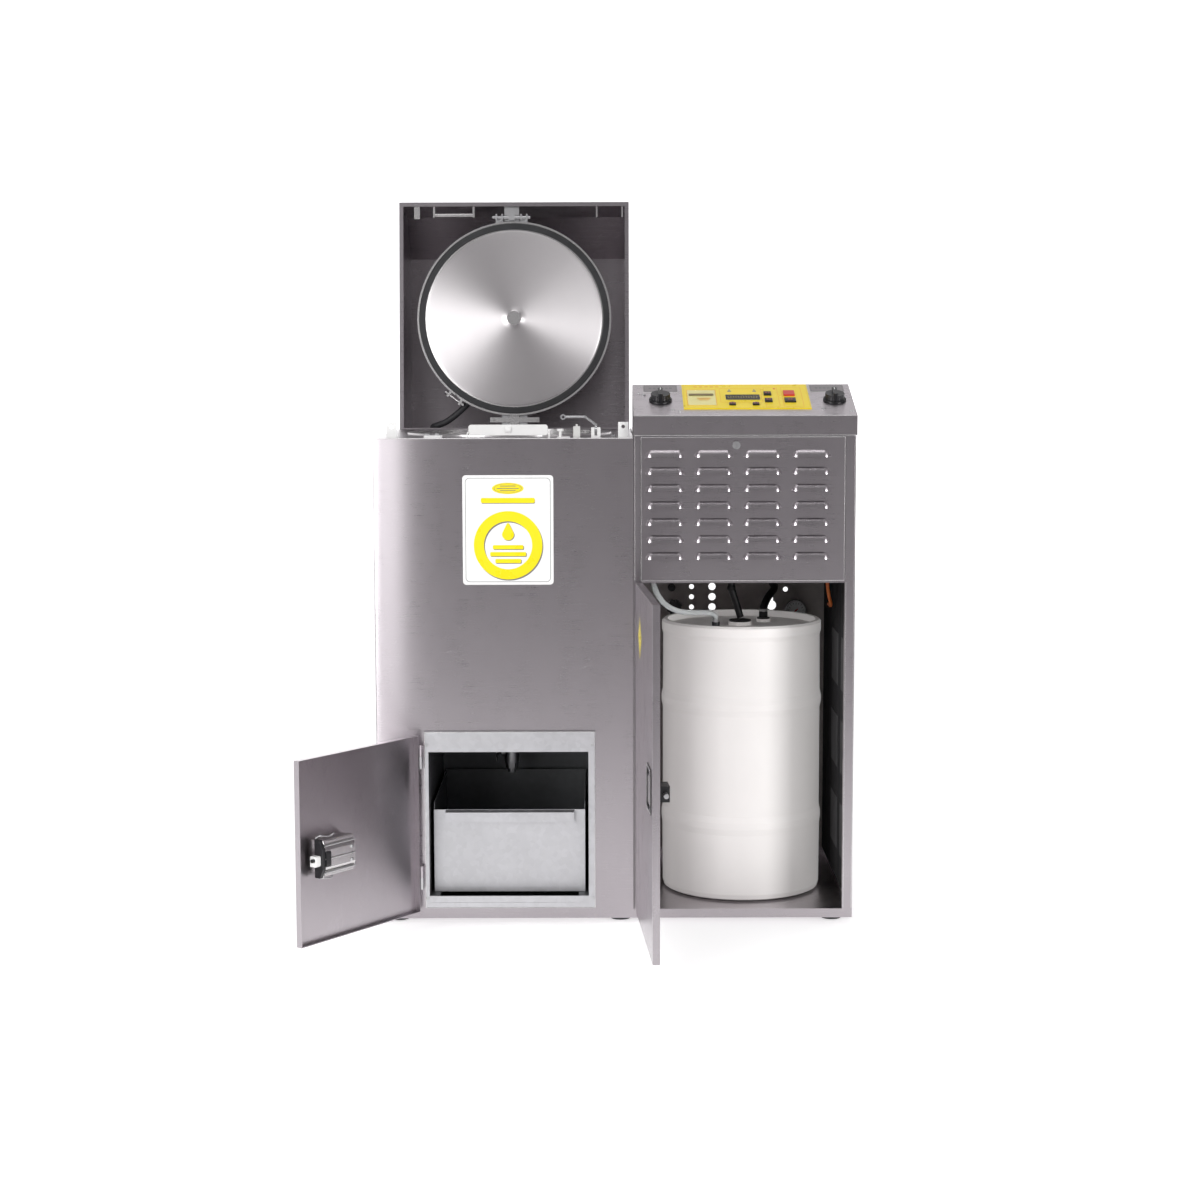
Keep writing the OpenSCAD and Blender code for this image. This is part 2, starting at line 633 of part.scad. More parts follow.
module gauge_body() color("white") frame() difference() {
  union() {
    rod_y(gauge_x, 572, 596, gauge_z, 25);
    rod_y(gauge_x, 596, cab_d - sheet, gauge_z, 7);
    rod_y(valve_x - 5, 590, cab_d - sheet, valve_z + 43, 9);
    rod_y(valve_x - 5, 580, 590, valve_z + 43, 6);
    rod_y(valve_x, 560, cab_d - sheet, valve_z, 9);
  }
  rod_y(gauge_x, 570, 577, gauge_z, 22.5);
  rod_y(gauge_x, 570, 590, gauge_z, 1.5 + run_gap);
  rod_y(valve_x, 550, 580, valve_z, 3 + run_gap);
}
module gauge_needle() color("red") frame() translate([gauge_x, 0, gauge_z]) {
  rod_y(0, 575, 588, 0, 1.5);
  rotate([0, -130, 0]) box(-0.8, 0.8, 575, 576, -6, 18);
}
module valve_knob() color("black") frame() {
  rod_y(valve_x, 545, 578, valve_z, 3);
  difference() {
    rod_y(valve_x, 538, 556, valve_z, 19);
    for (a = [0:45:315]) translate([valve_x, 0, valve_z]) rotate([0, a, 0]) rod_y(20.5, 537, 557, 0, 4.5);
  }
}

module cover_box() color("silver") frame() cover_pose() {
  top_z = cover_z + cover_h;
  bend_y = cover_front + cover_slope_d;
  difference() {
    prism_x(cover_x, cover_x + cover_w, [[cover_front, cover_z], [cover_front, cover_z + cover_front_h],
      [bend_y, top_z], [cover_back, top_z], [cover_back, cover_z]]);
    prism_x(cover_x + sheet, cover_x + cover_w - sheet, [[cover_front + sheet, cover_z - 1],
      [cover_front + sheet, cover_z + cover_front_h - tiny], [bend_y + tiny, top_z - sheet],
      [cover_back - sheet, top_z - sheet], [cover_back - sheet, cover_z - 1]]);
    rod_y(80, cover_back - 5, cover_back + 5, 1140, 6);
  }
  difference() {
    box(cover_x, cover_x + cover_w, cover_front, cover_back, cover_z, cover_z + sheet);
    box(cover_x + rim_w, cover_x + cover_w - rim_w, cover_front + rim_w, cover_back - rim_w,
      cover_z - 1, cover_z + 3);
  }
}

module cover_knuckles() color("gray") frame() cover_pose()
  for (x = hinge_spots) difference() {
    union() {
      box(x, x + 3 * knuckle_l, cover_back, cover_back + 2, cover_z + 1, cover_z + 42);
      for (x0 = [x, x + 2 * knuckle_l]) {
        rod_x(x0, x0 + knuckle_l, hinge_y, hinge_z, knuckle_r);
        box(x0, x0 + knuckle_l, cover_back, cover_back + 2, hinge_z, cover_z + 2);
      }
    }
    rod_x(x - 1, x + 3 * knuckle_l + 1, hinge_y, hinge_z, pin_r + run_gap);
  }

// A door hinge's fixed leaf with its pin, then the leaf that turns with the door
module door_leaf(x, y, z) {
  rod_z(x, y, z + 0.3, z + leaf_h, barrel_r);
  rod_z(x, y, z, z + 2 * leaf_h, pin_r);
  box(x - 4, x + 2, y, 0, z + 0.3, z + leaf_h);
}
module door_barrel(x, y, z) {
  difference() {
    union() {
      rod_z(x, y, z + leaf_h + 0.4, z + 2 * leaf_h, barrel_r);
      box(x, x + 12, y - barrel_r, y - 4.5, z + leaf_h + 0.4, z + 2 * leaf_h);
    }
    rod_z(x, y, z, z + 2 * leaf_h + 1, pin_r + run_gap);
  }
}

module hinge_leaves() color("gray") frame() {
  for (x = hinge_spots) {
    rod_x(x + knuckle_l + 0.4, x + 2 * knuckle_l - 0.4, hinge_y, hinge_z, knuckle_r);
    rod_x(x - 2, x + 3 * knuckle_l + 2, hinge_y, hinge_z, pin_r);
    box(x + knuckle_l + 0.4, x + 2 * knuckle_l - 0.4, cab_d, hinge_y + 1, hinge_z - 20, hinge_z - 4);
    box(x, x + 3 * knuckle_l, cab_d, cab_d + 2, hinge_z - 60, hinge_z - 9);
  }
  for (z = bin_hinges) door_leaf(bd_x, bd_y, z);
  for (z = drum_hinges) door_leaf(dd_x, dd_y, z);
}

module pan_door(x0, x1, y0, y1, z0, z1) {
  difference() {
    box(x0, x1, y0, y1, z0, z1);
    box(x0 + sheet, x1 - sheet, y0 + sheet, y1 + 1, z0 + sheet, z1 - sheet);
  }
}

module bin_door() color("silver") frame() bin_door_pose() {
  difference() {
    pan_door(bd_x + 10, bd_x + bin_door_w, -20, -6, bin_door_z0, bin_door_z1);
    box(latch_x + 48, latch_x + 82, -21, -18, bin_bolt_z - 6, bin_bolt_z + 6);
  }
  for (z = bin_hinges) door_barrel(bd_x, bd_y, z);
}

module bin_latch_case() color("gainsboro") frame() bin_door_pose() difference() {
  union() {
    box(latch_x, latch_x + 90, -18.5, 12, 178, 250);
    box(latch_x - 10, latch_x + 1, -18.5, -17, 186, 242);
  }
  box(latch_x + sheet, latch_x + 90 - sheet, -16.5, 12 - sheet, 178 + sheet, 250 - sheet);
  box(latch_x + 48, latch_x + 82, -19, -16, bin_bolt_z - 6, bin_bolt_z + 6);
  rod_x(latch_x - 6, latch_x + 94, bin_bolt_y, bin_bolt_z, 4 + run_gap);
}
module bin_latch_bolt() color("black") frame() bin_door_pose() {
  rod_x(latch_x - 3, latch_x + 121, bin_bolt_y, bin_bolt_z, 4);
  box(latch_x + 50, latch_x + 62, -25, bin_bolt_y, bin_bolt_z - 3, bin_bolt_z + 3);
  box(latch_x + 4, latch_x + 18, 1, 9.5, bin_bolt_z - 10, bin_bolt_z + 10);
}

module collecting_bin() color("lightsteelblue") frame() {
  difference() {
    box(bin_x, bin_x + bin_w, bin_y, bin_y + bin_d, bin_z, bin_z + bin_h);
    translate([bin_x + sheet, bin_y + sheet, bin_z + sheet])
      cube([bin_w - 2 * sheet, bin_d - 2 * sheet, bin_h]);
    box(bin_x - 1, bin_x + bin_w + 1, bin_y - 1, bin_y + 5, bin_z + bin_front_h, bin_z + bin_h + 1);
  }
  x0 = bin_x + 26;
  x1 = bin_x + bin_w - 24;
  prism_x(x0, x1, [[bin_y + 1, bin_z + bin_front_h], [bin_y - 10, bin_z + bin_front_h - 5],
    [bin_y - 10, bin_z + bin_front_h - 27], [bin_y - 8.5, bin_z + bin_front_h - 27],
    [bin_y - 8.5, bin_z + bin_front_h - 6.5], [bin_y + 1, bin_z + bin_front_h - 2]]);
}

module drum_door() color("silver") frame() drum_door_pose() {
  difference() {
    pan_door(dd_x + 10, dd_x + drum_door_w, -20, -5, drum_door_z0, drum_door_z1);
    box(898, 978, -25, -17, 336, 416);
  }
  for (z = drum_hinges) door_barrel(dd_x, dd_y, z);
}
module drum_latch_case() color("dimgray") frame() drum_door_pose() difference() {
  union() {
    box(892, 984, -21.5, -20, 330, 422);
    box(899, 977, -20.5, -7, 337, 415);
    box(950, 1002, -7.5, 16, 360, 392);
  }
  box(900, 976, -22, -8.5, 338, 414);
  box(953, 1000, -6, 14, 363, 389);
  rod_x(945, 1010, drum_bolt_y, drum_bolt_z, 5 + run_gap);
  rod_x(899, 977, paddle_y, paddle_z, 2 + run_gap);
}
module drum_paddle() color("silver") frame() drum_door_pose() {
  box(906, 970, -20.5, -18.5, 344, 402);
  box(914, 962, -19, -14.5, 400, 408);
  rod_x(899.5, 976.5, paddle_y, paddle_z, 2);
  box(920, 956, -16, -13, 399, 409);
}
module drum_latch_bolt() color("gainsboro") frame() drum_door_pose() {
  rod_x(940, 1025, drum_bolt_y, drum_bolt_z, 5);
  box(968, 978, 0, 13, drum_bolt_z - 8, drum_bolt_z + 8);
}

module vessel_lid() color("gainsboro") frame() cover_pose() translate([vessel_x, vessel_y, 0]) {
  rotate_extrude($fn = 96)
    polygon([[0, lid_boss_z], [17, lid_boss_z], [17, lid_boss_z + 3], [206, 1070.5], [216, 1071.5],
      [216, lid_seat_z], [flange_r, lid_seat_z], [flange_r, lid_top_z], [206, lid_top_z],
      [17, lid_boss_z + 14], [0, lid_boss_z + 14]]);
  box(-10, 10, 190, 205, 1074, lid_top_z + 5.5);
  box(-10, 10, 190, 262, lid_top_z + 2.5, lid_top_z + 5.5);
  box(-60, 60, 240, 252, lid_top_z + 2.5, lid_top_z + 5.5);
  for (x = [-52.5, 52.5]) {
    rod_z(x, 246, 1072, 1120, 2.5);
    rod_z(x, 246, 1084, 1090, 5);
  }
}
module lid_gasket() color("black") frame() cover_pose() translate([vessel_x, vessel_y, 0])
  rotate_extrude($fn = 96)
    polygon([[216, 1071], [217.5, 1070.4], [gasket_r - 1, 1070.4], [gasket_r, 1071.4], [gasket_r, lid_seat_z],
      [216, lid_seat_z]]);

module clamp_band() color("white") frame() cover_pose() translate([vessel_x, vessel_y, 0]) {
  difference() {
    rotate_extrude($fn = 96)
      polygon([[gasket_r + 0.6, 1072], [band_r, 1072], [band_r, 1080], [206, 1080], [206, lid_top_z + 0.2],
        [band_r - 1.7, lid_top_z + 0.2], [band_r - 1.7, 1073.5], [gasket_r + 0.6, 1073.5]]);
    rotate([0, 0, band_gap_at]) box(200, 250, -3, 3, 1060, 1090);
  }
  for (side = [-4, 4]) rotate([0, 0, band_gap_at + side]) box(band_r - 1, 250, -3, 3, 1072, 1080);
  rotate([0, 0, band_gap_at]) {
    rod_y(243, -28, 28, 1076, 2.2);
    for (side = [-90, 90]) translate([243, 24 * sign(side), 1076]) rotate([side, 0, 0])
      translate([0, 0, -3]) hex_head(8, 6);
  }
}

module lid_bracket() color("gray") frame() cover_pose() {
  rod_x(228, 320, spring_y, spring_z, 4);
  for (x = [236, 250, 296, 310])
    box(x, x + 4, spring_y - 8, spring_y + 8, spring_z - 7, spring_z + 8);
  box(257, 293, cover_front + sheet, cover_front + 4.5, spring_z - 5, 1130);
  box(257, 293, cover_front + sheet, spring_y + 8, spring_z + 5, spring_z + 8);
  box(268, 282, spring_y - 8, spring_y + 8, spring_z - 6, spring_z + 5);
  for (x = [236, 296]) box(x, x + 18, spring_y + 4, 130, 1080.2, spring_z + 8);
  for (x = [240, 306]) rod_z(x, 122, spring_z + 8, spring_z + 12, 4);
  box(250, 312, 560, cover_back - sheet, spring_z + 8.5, spring_z + 11.5);
}

module vapour_hose() color("black") frame() cover_pose() hose(vapour_route, 8, 12);

module cover_handle() color("gainsboro") frame() cover_pose() {
  rod_x(86, 182, 94, 1080, 5);
  for (x = [84, 180]) box(x, x + 5, cover_front + sheet, 100, 1073, 1087);
  for (x = [480, 542]) box(x, x + 4, cover_front + sheet, 100, 1073, 1087);
  box(38, 52, cover_front + sheet, 104, 1073, 1075);
  box(38, 40, cover_front + sheet, 104, 1073, 1090);
}

module side_catches() color("gray") frame()
  for (x = [-5, total_w]) {
    box(x, x + 5, 50, 70, 670, 712);
    rod_x(x, x + 5, 60, 717, 6);
  }

module fasteners() color("gray") frame() {
  for (x = [36, 518]) translate([x, 38, deck_z + 2]) hex_head(8, 4);
  for (x = [115, 136]) translate([x, 41, deck_z + 5]) hex_head(8, 4);
  for (p = [[585, 132], [646, 34], [972, 40], [1034, 26]]) on_slope(p[0], p[1])
    rod_z(0, 0, panel_lift, 2, 4.5);
  for (z = [60, 400]) for (x = [liner_x0 - 3.1, liner_x1 + 8]) rod_y(x, -7, -5, z, 3);
}

base_frame();
levelling_feet();
left_shell();
left_front_panel();
bin_liner();
top_deck();
vessel();
heater_jacket();
drain_valve();
drain_handle();
deck_brackets();
clamp_bar();
support_lever();
limit_switch();
right_shell();
right_frame();
louvre_panel();
panel_lock();
condenser_coil();
fan_motor();
fan_blades();
console_housing();
control_panel();
display_window();
label_plates();
knob_left();
knob_right();
key_left();
key_right();
key_up();
key_down();
key_stop();
key_start();
drum();
drum_fittings();
clear_hose();
vent_hose();
purge_hose();
gauge_body();
gauge_needle();
valve_knob();
cover_box();
cover_knuckles();
hinge_leaves();
bin_door();
bin_latch_case();
bin_latch_bolt();
collecting_bin();
drum_door();
drum_latch_case();
drum_paddle();
drum_latch_bolt();
vessel_lid();
lid_gasket();
clamp_band();
lid_bracket();
vapour_hose();
cover_handle();
side_catches();
fasteners();
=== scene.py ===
import json
import math

import bmesh
import bpy
from mathutils import Matrix, Vector

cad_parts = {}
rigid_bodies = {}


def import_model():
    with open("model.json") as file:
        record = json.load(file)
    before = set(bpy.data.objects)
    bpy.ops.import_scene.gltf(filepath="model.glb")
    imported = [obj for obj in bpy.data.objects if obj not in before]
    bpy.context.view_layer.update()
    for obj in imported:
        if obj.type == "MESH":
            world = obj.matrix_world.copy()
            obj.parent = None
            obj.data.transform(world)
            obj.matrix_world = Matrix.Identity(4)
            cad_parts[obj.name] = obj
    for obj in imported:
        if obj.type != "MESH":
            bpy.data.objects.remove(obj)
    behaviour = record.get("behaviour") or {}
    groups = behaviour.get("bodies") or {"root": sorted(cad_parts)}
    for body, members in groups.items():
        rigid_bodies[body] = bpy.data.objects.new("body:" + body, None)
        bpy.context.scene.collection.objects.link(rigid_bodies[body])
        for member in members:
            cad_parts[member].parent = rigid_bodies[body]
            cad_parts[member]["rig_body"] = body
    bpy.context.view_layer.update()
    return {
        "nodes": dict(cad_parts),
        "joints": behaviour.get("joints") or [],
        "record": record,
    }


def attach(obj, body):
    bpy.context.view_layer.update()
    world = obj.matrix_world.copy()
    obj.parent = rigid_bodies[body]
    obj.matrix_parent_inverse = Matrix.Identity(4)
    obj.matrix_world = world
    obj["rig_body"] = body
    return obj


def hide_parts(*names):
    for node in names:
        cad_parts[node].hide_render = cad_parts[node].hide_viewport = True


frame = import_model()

NODES = frame["nodes"]
JOINTS = {j["name"]: j for j in frame["joints"]}
SLOT_OF = {s["node"]: s["material_slot"] for s in frame["record"]["subparts"]}
MM = 0.001
# The machine's own sizes in millimetres, from its left side, front plane and floor; the frame's origin is
# the front left foot.
FOOT_X, FOOT_Y = 40, 60
RIGHT_X, TOTAL_W, DEPTH = 562, 1040, 615
DECK_Z, RIGHT_TOP, SHELF_Z = 1067, 1071, 757
UP = Vector((0, 0, 1))
FRONT = Vector((0, -1, 0))
BACK = Vector((0, 1, 0))
RIGHT = Vector((1, 0, 0))


# ---------------------------------------------------------------- camera

def make_camera():
    """Stands in front of the doors, a little above the console."""
    data = bpy.data.cameras.new("camera")
    data.sensor_width = 36.0
    data.lens = 67.2
    camera = bpy.data.objects.new("camera", data)
    bpy.context.collection.objects.link(camera)
    turn = Matrix.Rotation(math.radians(0.03), 4, "Z") @ Matrix.Rotation(math.radians(90 - 6.2), 4, "X")
    roll = Matrix.Rotation(math.radians(-0.144), 4, "Z")
    camera.matrix_world = Matrix.Translation((0.4506, -4.882, 1.241)) @ turn @ roll
    bpy.context.scene.camera = camera


make_camera()


# ------------------------------------------------------------- materials

def new_material(name):
    material = bpy.data.materials.new(name)
    material.use_nodes = True
    nodes = material.node_tree.nodes
    return material, nodes, material.node_tree.links, nodes["Principled BSDF"]


def object_noise(nodes, links, stretch, detail=4.0, roughness=0.55, kind="ShaderNodeTexNoise"):
    """A noise in the object's own metres, stretched by a scale per axis."""
    place = nodes.new("ShaderNodeTexCoord")
    mapping = nodes.new("ShaderNodeMapping")
    mapping.inputs["Scale"].default_value = stretch
    noise = nodes.new(kind)
    noise.inputs["Scale"].default_value = 1.0
    if kind == "ShaderNodeTexNoise":
        noise.inputs["Detail"].default_value = detail
        noise.inputs["Roughness"].default_value = roughness
    links.new(place.outputs["Object"], mapping.inputs["Vector"])
    links.new(mapping.outputs["Vector"], noise.inputs["Vector"])
    return noise.outputs[0]


def remap(nodes, links, value, low, high, out_low, out_high):
    node = nodes.new("ShaderNodeMapRange")
    links.new(value, node.inputs["Value"])
    for socket, number in zip(("From Min", "From Max", "To Min", "To Max"), (low, high, out_low, out_high)):
        node.inputs[socket].default_value = number
    return node.outputs["Result"]


def tint(nodes, links, factor, dark, light):
    mix = nodes.new("ShaderNodeMix")
    mix.data_type = "RGBA"
    links.new(factor, mix.inputs["Factor"])
    mix.inputs["A"].default_value = (*dark, 1)
    mix.inputs["B"].default_value = (*light, 1)
    return mix.outputs["Result"]


def bump(nodes, links, height, strength, distance, under=None):
    node = nodes.new("ShaderNodeBump")
    node.inputs["Strength"].default_value = strength
    node.inputs["Distance"].default_value = distance
    links.new(height, node.inputs["Height"])
    if under is not None:
        links.new(under, node.inputs["Normal"])
    return node.outputs["Normal"]


def shade(color, amount):
    return tuple(max(0.0, min(1.0, c * amount)) for c in color)


def grain_direction(nodes, links, surface, amount):
    """Brushing runs level, so reflections are drawn out upright on every wall."""
    upright = nodes.new("ShaderNodeCombineXYZ")
    for socket, number in zip(("X", "Y", "Z"), (0.03, 0.0, 1.0)):
        upright.inputs[socket].default_value = number
    links.new(upright.outputs[0], surface.inputs["Tangent"])
    surface.inputs["Anisotropic"].default_value = amount


def rolled_edge(nodes, links, low_x, reach, depth, under):
    """A panel that rolls back a little beside its left fold, where it turns to catch the light."""
    place = nodes.new("ShaderNodeTexCoord")
    split = nodes.new("ShaderNodeSeparateXYZ")
    links.new(place.outputs["Object"], split.inputs[0])
    decay = nodes.new("ShaderNodeMath")
    decay.operation = "POWER"
    decay.inputs[0].default_value = math.e
    links.new(remap(nodes, links, split.outputs["X"], low_x, low_x + reach * 12, 0.0, -12.0), decay.inputs[1])
    drop = nodes.new("ShaderNodeMath")
    drop.operation = "MULTIPLY"
    drop.inputs[1].default_value = -1.0
    links.new(decay.outputs[0], drop.inputs[0])
    return bump(nodes, links, drop.outputs[0], 1.0, depth, under)


def brushed(name, color, roughness=0.3, grain=(9, 1500, 1500), depth=0.25, cloud=0.06, along=0.0, roll=None):
    """Brushed sheet metal: fine grain along one axis, soft cloudiness and faint handling marks."""
    material, nodes, links, surface = new_material(name)
    surface.inputs["Metallic"].default_value = 1.0
    lines = object_noise(nodes, links, grain, 3.0)
    clouds = object_noise(nodes, links, (3.2, 3.2, 2.1), 3.0)
    smears = object_noise(nodes, links, (17, 17, 9), 6.0, 0.7)
    mixed = nodes.new("ShaderNodeMath")
    mixed.operation = "MULTIPLY_ADD"
    links.new(clouds, mixed.inputs[0])
    mixed.inputs[1].default_value = 0.7
    links.new(remap(nodes, links, lines, 0.3, 0.7, 0.0, 0.25), mixed.inputs[2])
    color_value = tint(nodes, links, mixed.outputs[0], shade(color, 1 - cloud), shade(color, 1 + cloud))
    links.new(color_value, surface.inputs["Base Color"])
    rough = nodes.new("ShaderNodeMath")
    rough.operation = "MULTIPLY_ADD"
    links.new(remap(nodes, links, smears, 0.35, 0.75, -0.008, 0.022), rough.inputs[0])
    rough.inputs[1].default_value = 1.0
    links.new(remap(nodes, links, lines, 0.3, 0.7, roughness - 0.015, roughness + 0.025), rough.inputs[2])
    links.new(rough.outputs[0], surface.inputs["Roughness"])
    wave = bump(nodes, links, clouds, 0.03, 0.01)
    if roll:
        wave = rolled_edge(nodes, links, *roll, wave)
    links.new(bump(nodes, links, lines, depth, 0.00012, wave), surface.inputs["Normal"])
    if along:
        grain_direction(nodes, links, surface, along)
    return material


def galvanised(name, color):
    """Zinc-coated sheet: flat crystals of slightly different grey."""
    material, nodes, links, surface = new_material(name)
    surface.inputs["Metallic"].default_value = 0.85
    flakes = object_noise(nodes, links, (95, 95, 95), kind="ShaderNodeTexVoronoi")
    voronoi = flakes.node
    blotch = object_noise(nodes, links, (9, 9, 9), 5.0)
    value = nodes.new("ShaderNodeSeparateColor")
    links.new(voronoi.outputs["Color"], value.inputs["Color"])
    both = nodes.new("ShaderNodeMath")
    both.operation = "MULTIPLY_ADD"
    links.new(value.outputs[0], both.inputs[0])
    both.inputs[1].default_value = 0.45
    links.new(remap(nodes, links, blotch, 0.3, 0.7, 0.0, 0.5), both.inputs[2])
    links.new(tint(nodes, links, both.outputs[0], shade(color, 0.90), shade(color, 1.08)),
              surface.inputs["Base Color"])
    links.new(remap(nodes, links, both.outputs[0], 0.0, 1.0, 0.38, 0.50), surface.inputs["Roughness"])
    links.new(bump(nodes, links, value.outputs[1], 0.15, 0.0003), surface.inputs["Normal"])
    return material


def plastic(name, color, roughness=0.45, grain=900, depth=0.12, mottle=0.08, coat=0.0, speckle=22):
    """Moulded or painted surface: fine texture, slight mottling and rubbed patches."""
    material, nodes, links, surface = new_material(name)
    patches = object_noise(nodes, links, (speckle, speckle, speckle), 5.0)
    fine = object_noise(nodes, links, (grain, grain, grain), 2.0)
    links.new(tint(nodes, links, remap(nodes, links, patches, 0.25, 0.75, 0, 1),
                   shade(color, 1 - mottle), shade(color, 1 + mottle)), surface.inputs["Base Color"])
    links.new(remap(nodes, links, patches, 0.3, 0.7, roughness - 0.05, roughness + 0.07),
              surface.inputs["Roughness"])
    links.new(bump(nodes, links, fine, depth, 0.0002), surface.inputs["Normal"])
    surface.inputs["Coat Weight"].default_value = coat
    return material


def clear_vinyl(name):
    """Milky clear tube: mostly see-through, with a soft sheen."""
    material, nodes, links, surface = new_material(name)
    streaks = object_noise(nodes, links, (60, 60, 60), 3.0)
    links.new(tint(nodes, links, streaks, (0.80, 0.84, 0.85), (0.93, 0.95, 0.95)),
              surface.inputs["Base Color"])
    links.new(remap(nodes, links, streaks, 0.3, 0.7, 0.12, 0.25), surface.inputs["Roughness"])
    surface.inputs["Transmission Weight"].default_value = 0.55
    surface.inputs["IOR"].default_value = 1.2
    surface.inputs["Alpha"].default_value = 0.8
    return material


def turned_disc(name, color):
    """Spun disc: fine circular grooves round its own Z axis, so light falls in wedges."""
    material, nodes, links, surface = new_material(name)
    surface.inputs["Metallic"].default_value = 1.0
    place = nodes.new("ShaderNodeTexCoord")
    split = nodes.new("ShaderNodeSeparateXYZ")
    links.new(place.outputs["Object"], split.inputs[0])
    flat = nodes.new("ShaderNodeCombineXYZ")
    links.new(split.outputs["X"], flat.inputs["X"])
    links.new(split.outputs["Y"], flat.inputs["Y"])
    length = nodes.new("ShaderNodeVectorMath")
    length.operation = "LENGTH"
    links.new(flat.outputs[0], length.inputs[0])
    rings = nodes.new("ShaderNodeTexNoise")
    rings.noise_dimensions = "1D"
    rings.inputs["Scale"].default_value = 900.0
    rings.inputs["Detail"].default_value = 3.0
    links.new(length.outputs["Value"], rings.inputs["W"])
    clouds = object_noise(nodes, links, (7, 7, 7), 4.0)
    links.new(tint(nodes, links, clouds, shade(color, 0.94), shade(color, 1.06)),
              surface.inputs["Base Color"])
    links.new(remap(nodes, links, rings.outputs[0], 0.3, 0.7, 0.37, 0.45), surface.inputs["Roughness"])
    surface.inputs["Anisotropic"].default_value = 0.72
    tangent = nodes.new("ShaderNodeTangent")
    tangent.direction_type = "RADIAL"
    tangent.axis = "Z"
    links.new(tangent.outputs["Tangent"], surface.inputs["Tangent"])
    surface.inputs["Anisotropic Rotation"].default_value = 0.25
    links.new(bump(nodes, links, rings.outputs[0], 0.12, 0.0001), surface.inputs["Normal"])
    return material


def braided(name, color, thread):
    """Braided hose: one set of wavy diagonal bands of thread colour over the rubber."""
    material, nodes, links, surface = new_material(name)
    place = nodes.new("ShaderNodeTexCoord")
    wave = nodes.new("ShaderNodeTexWave")
    wave.wave_type = "BANDS"
    wave.bands_direction = "DIAGONAL"
    wave.inputs["Scale"].default_value = 260.0
    wave.inputs["Distortion"].default_value = 2.0
    links.new(place.outputs["Object"], wave.inputs["Vector"])
    links.new(tint(nodes, links, wave.outputs["Fac"], color, thread), surface.inputs["Base Color"])
    surface.inputs["Roughness"].default_value = 0.4
    links.new(bump(nodes, links, wave.outputs["Fac"], 0.4, 0.0004), surface.inputs["Normal"])
    return material


STEEL = (0.50, 0.465, 0.49)
# Painted shade: the darker steel colour given to the cabinet's inner faces.
STEEL_IN_SHADE = (0.28, 0.26, 0.27)
MATERIAL = {
    "stainless": brushed("stainless_sheet", STEEL, 0.28, depth=0.05, cloud=0.03, along=0.8),
    "stainless_bright": brushed("stainless_bright", (0.70, 0.69, 0.69), 0.24, (300, 300, 300), 0.1),
    "galvanised": galvanised("galvanised_sheet", (0.60, 0.60, 0.62)),
    "zinc": brushed("zinc_hardware", (0.55, 0.55, 0.56), 0.34, (400, 400, 400), 0.2, 0.12),
    "dark_steel": plastic("black_painted_steel", (0.03, 0.03, 0.033), 0.5, 500, 0.2, 0.3),
    "white_coat": plastic("white_powder_coat", (0.80, 0.80, 0.79), 0.42, 700, 0.3, 0.03),
    "aluminium": brushed("mill_aluminium", (0.66, 0.66, 0.67), 0.34, (300, 300, 300), 0.2, 0.1),
    "black_plastic": plastic("black_plastic", (0.012, 0.012, 0.014), 0.36, 800, 0.2, 0.35),
    "red_plastic": plastic("red_plastic", (0.56, 0.035, 0.03), 0.35, 700, 0.1, 0.1),
    "yellow_panel": plastic("yellow_membrane", (0.86, 0.66, 0.015), 0.3, 1200, 0.08, 0.02, 0.2),
    "window": plastic("window_over_display", (0.80, 0.74, 0.32), 0.22, 900, 0.03, 0.04, 0.4),
    "white_label": plastic("white_sticker", (0.86, 0.86, 0.85), 0.32, 900, 0.05, 0.015, 0.15),
    "drum_plastic": plastic("drum_polyethylene", (0.80, 0.775, 0.76), 0.5, 160, 0.2, 0.02, 0.0, 6),
    "insulation": plastic("glass_fibre_jacket", (0.5, 0.5, 0.47), 0.85, 200, 0.8, 0.15),
    "rubber": plastic("black_rubber", (0.014, 0.014, 0.016), 0.48, 500, 0.3, 0.3),
    "clear_tube": clear_vinyl("clear_vinyl_tube"),
    "orange_tube": braided("orange_braided_tube", (0.62, 0.10, 0.02), (0.85, 0.28, 0.08)),
    "switch_grey": plastic("grey_switch_plastic", (0.62, 0.62, 0.60), 0.42, 700, 0.15, 0.06),
}
PRINT_YELLOW = plastic("print_yellow", (0.90, 0.74, 0.01), 0.3, 1200, 0.05, 0.02, 0.15)
PRINT_GREY = plastic("print_grey", (0.16, 0.16, 0.165), 0.34, 1200, 0.05, 0.05, 0.15)
PRINT_RED = plastic("print_red", (0.60, 0.04, 0.02), 0.3, 1200, 0.05, 0.03, 0.15)
GLASS_WHITE = plastic("gauge_face", (0.74, 0.76, 0.77), 0.25, 1200, 0.04, 0.02, 0.5)
FRONT_PANEL = brushed("stainless_front", STEEL, 0.28, depth=0.05, cloud=0.03, along=0.8,
                      roll=(-0.04, 0.060, 0.0125))
# Painted shade: a darker copy of the stainless for the inner faces of the shells and frame.
SHELL_PAINTED_SHADE = brushed("stainless_painted_shade_inside", STEEL_IN_SHADE, 0.45, depth=0.1, cloud=0.25)
BACK_INSIDE = plastic("painted_inside", (0.50, 0.47, 0.455), 0.6, 400, 0.1, 0.15)
# Painted shade: a darker copy of the galvanised sheet for the inside of the bin and its liner.
ZINC_PAINTED_SHADE = galvanised("galvanised_painted_shade_inside", (0.20, 0.205, 0.215))
PLATE = brushed("legend_plate", (0.30, 0.28, 0.29), 0.4, depth=0.05, cloud=0.05)
# Painted shade: a near-black sheet that stands in for the shade on the inside of the right-hand wall.
WALL_SHADE_PAD = plastic("painted_shade_pad", (0.012, 0.012, 0.015), 0.9, 260, 0.8, 0.4)
PAD_GREY = plastic("filter_gauze", (0.07, 0.07, 0.075), 0.8, 420, 0.8, 0.3)
LID_DISC = turned_disc("spun_lid", (0.66, 0.635, 0.645))


# ------------------------------------------------------------ mesh tools

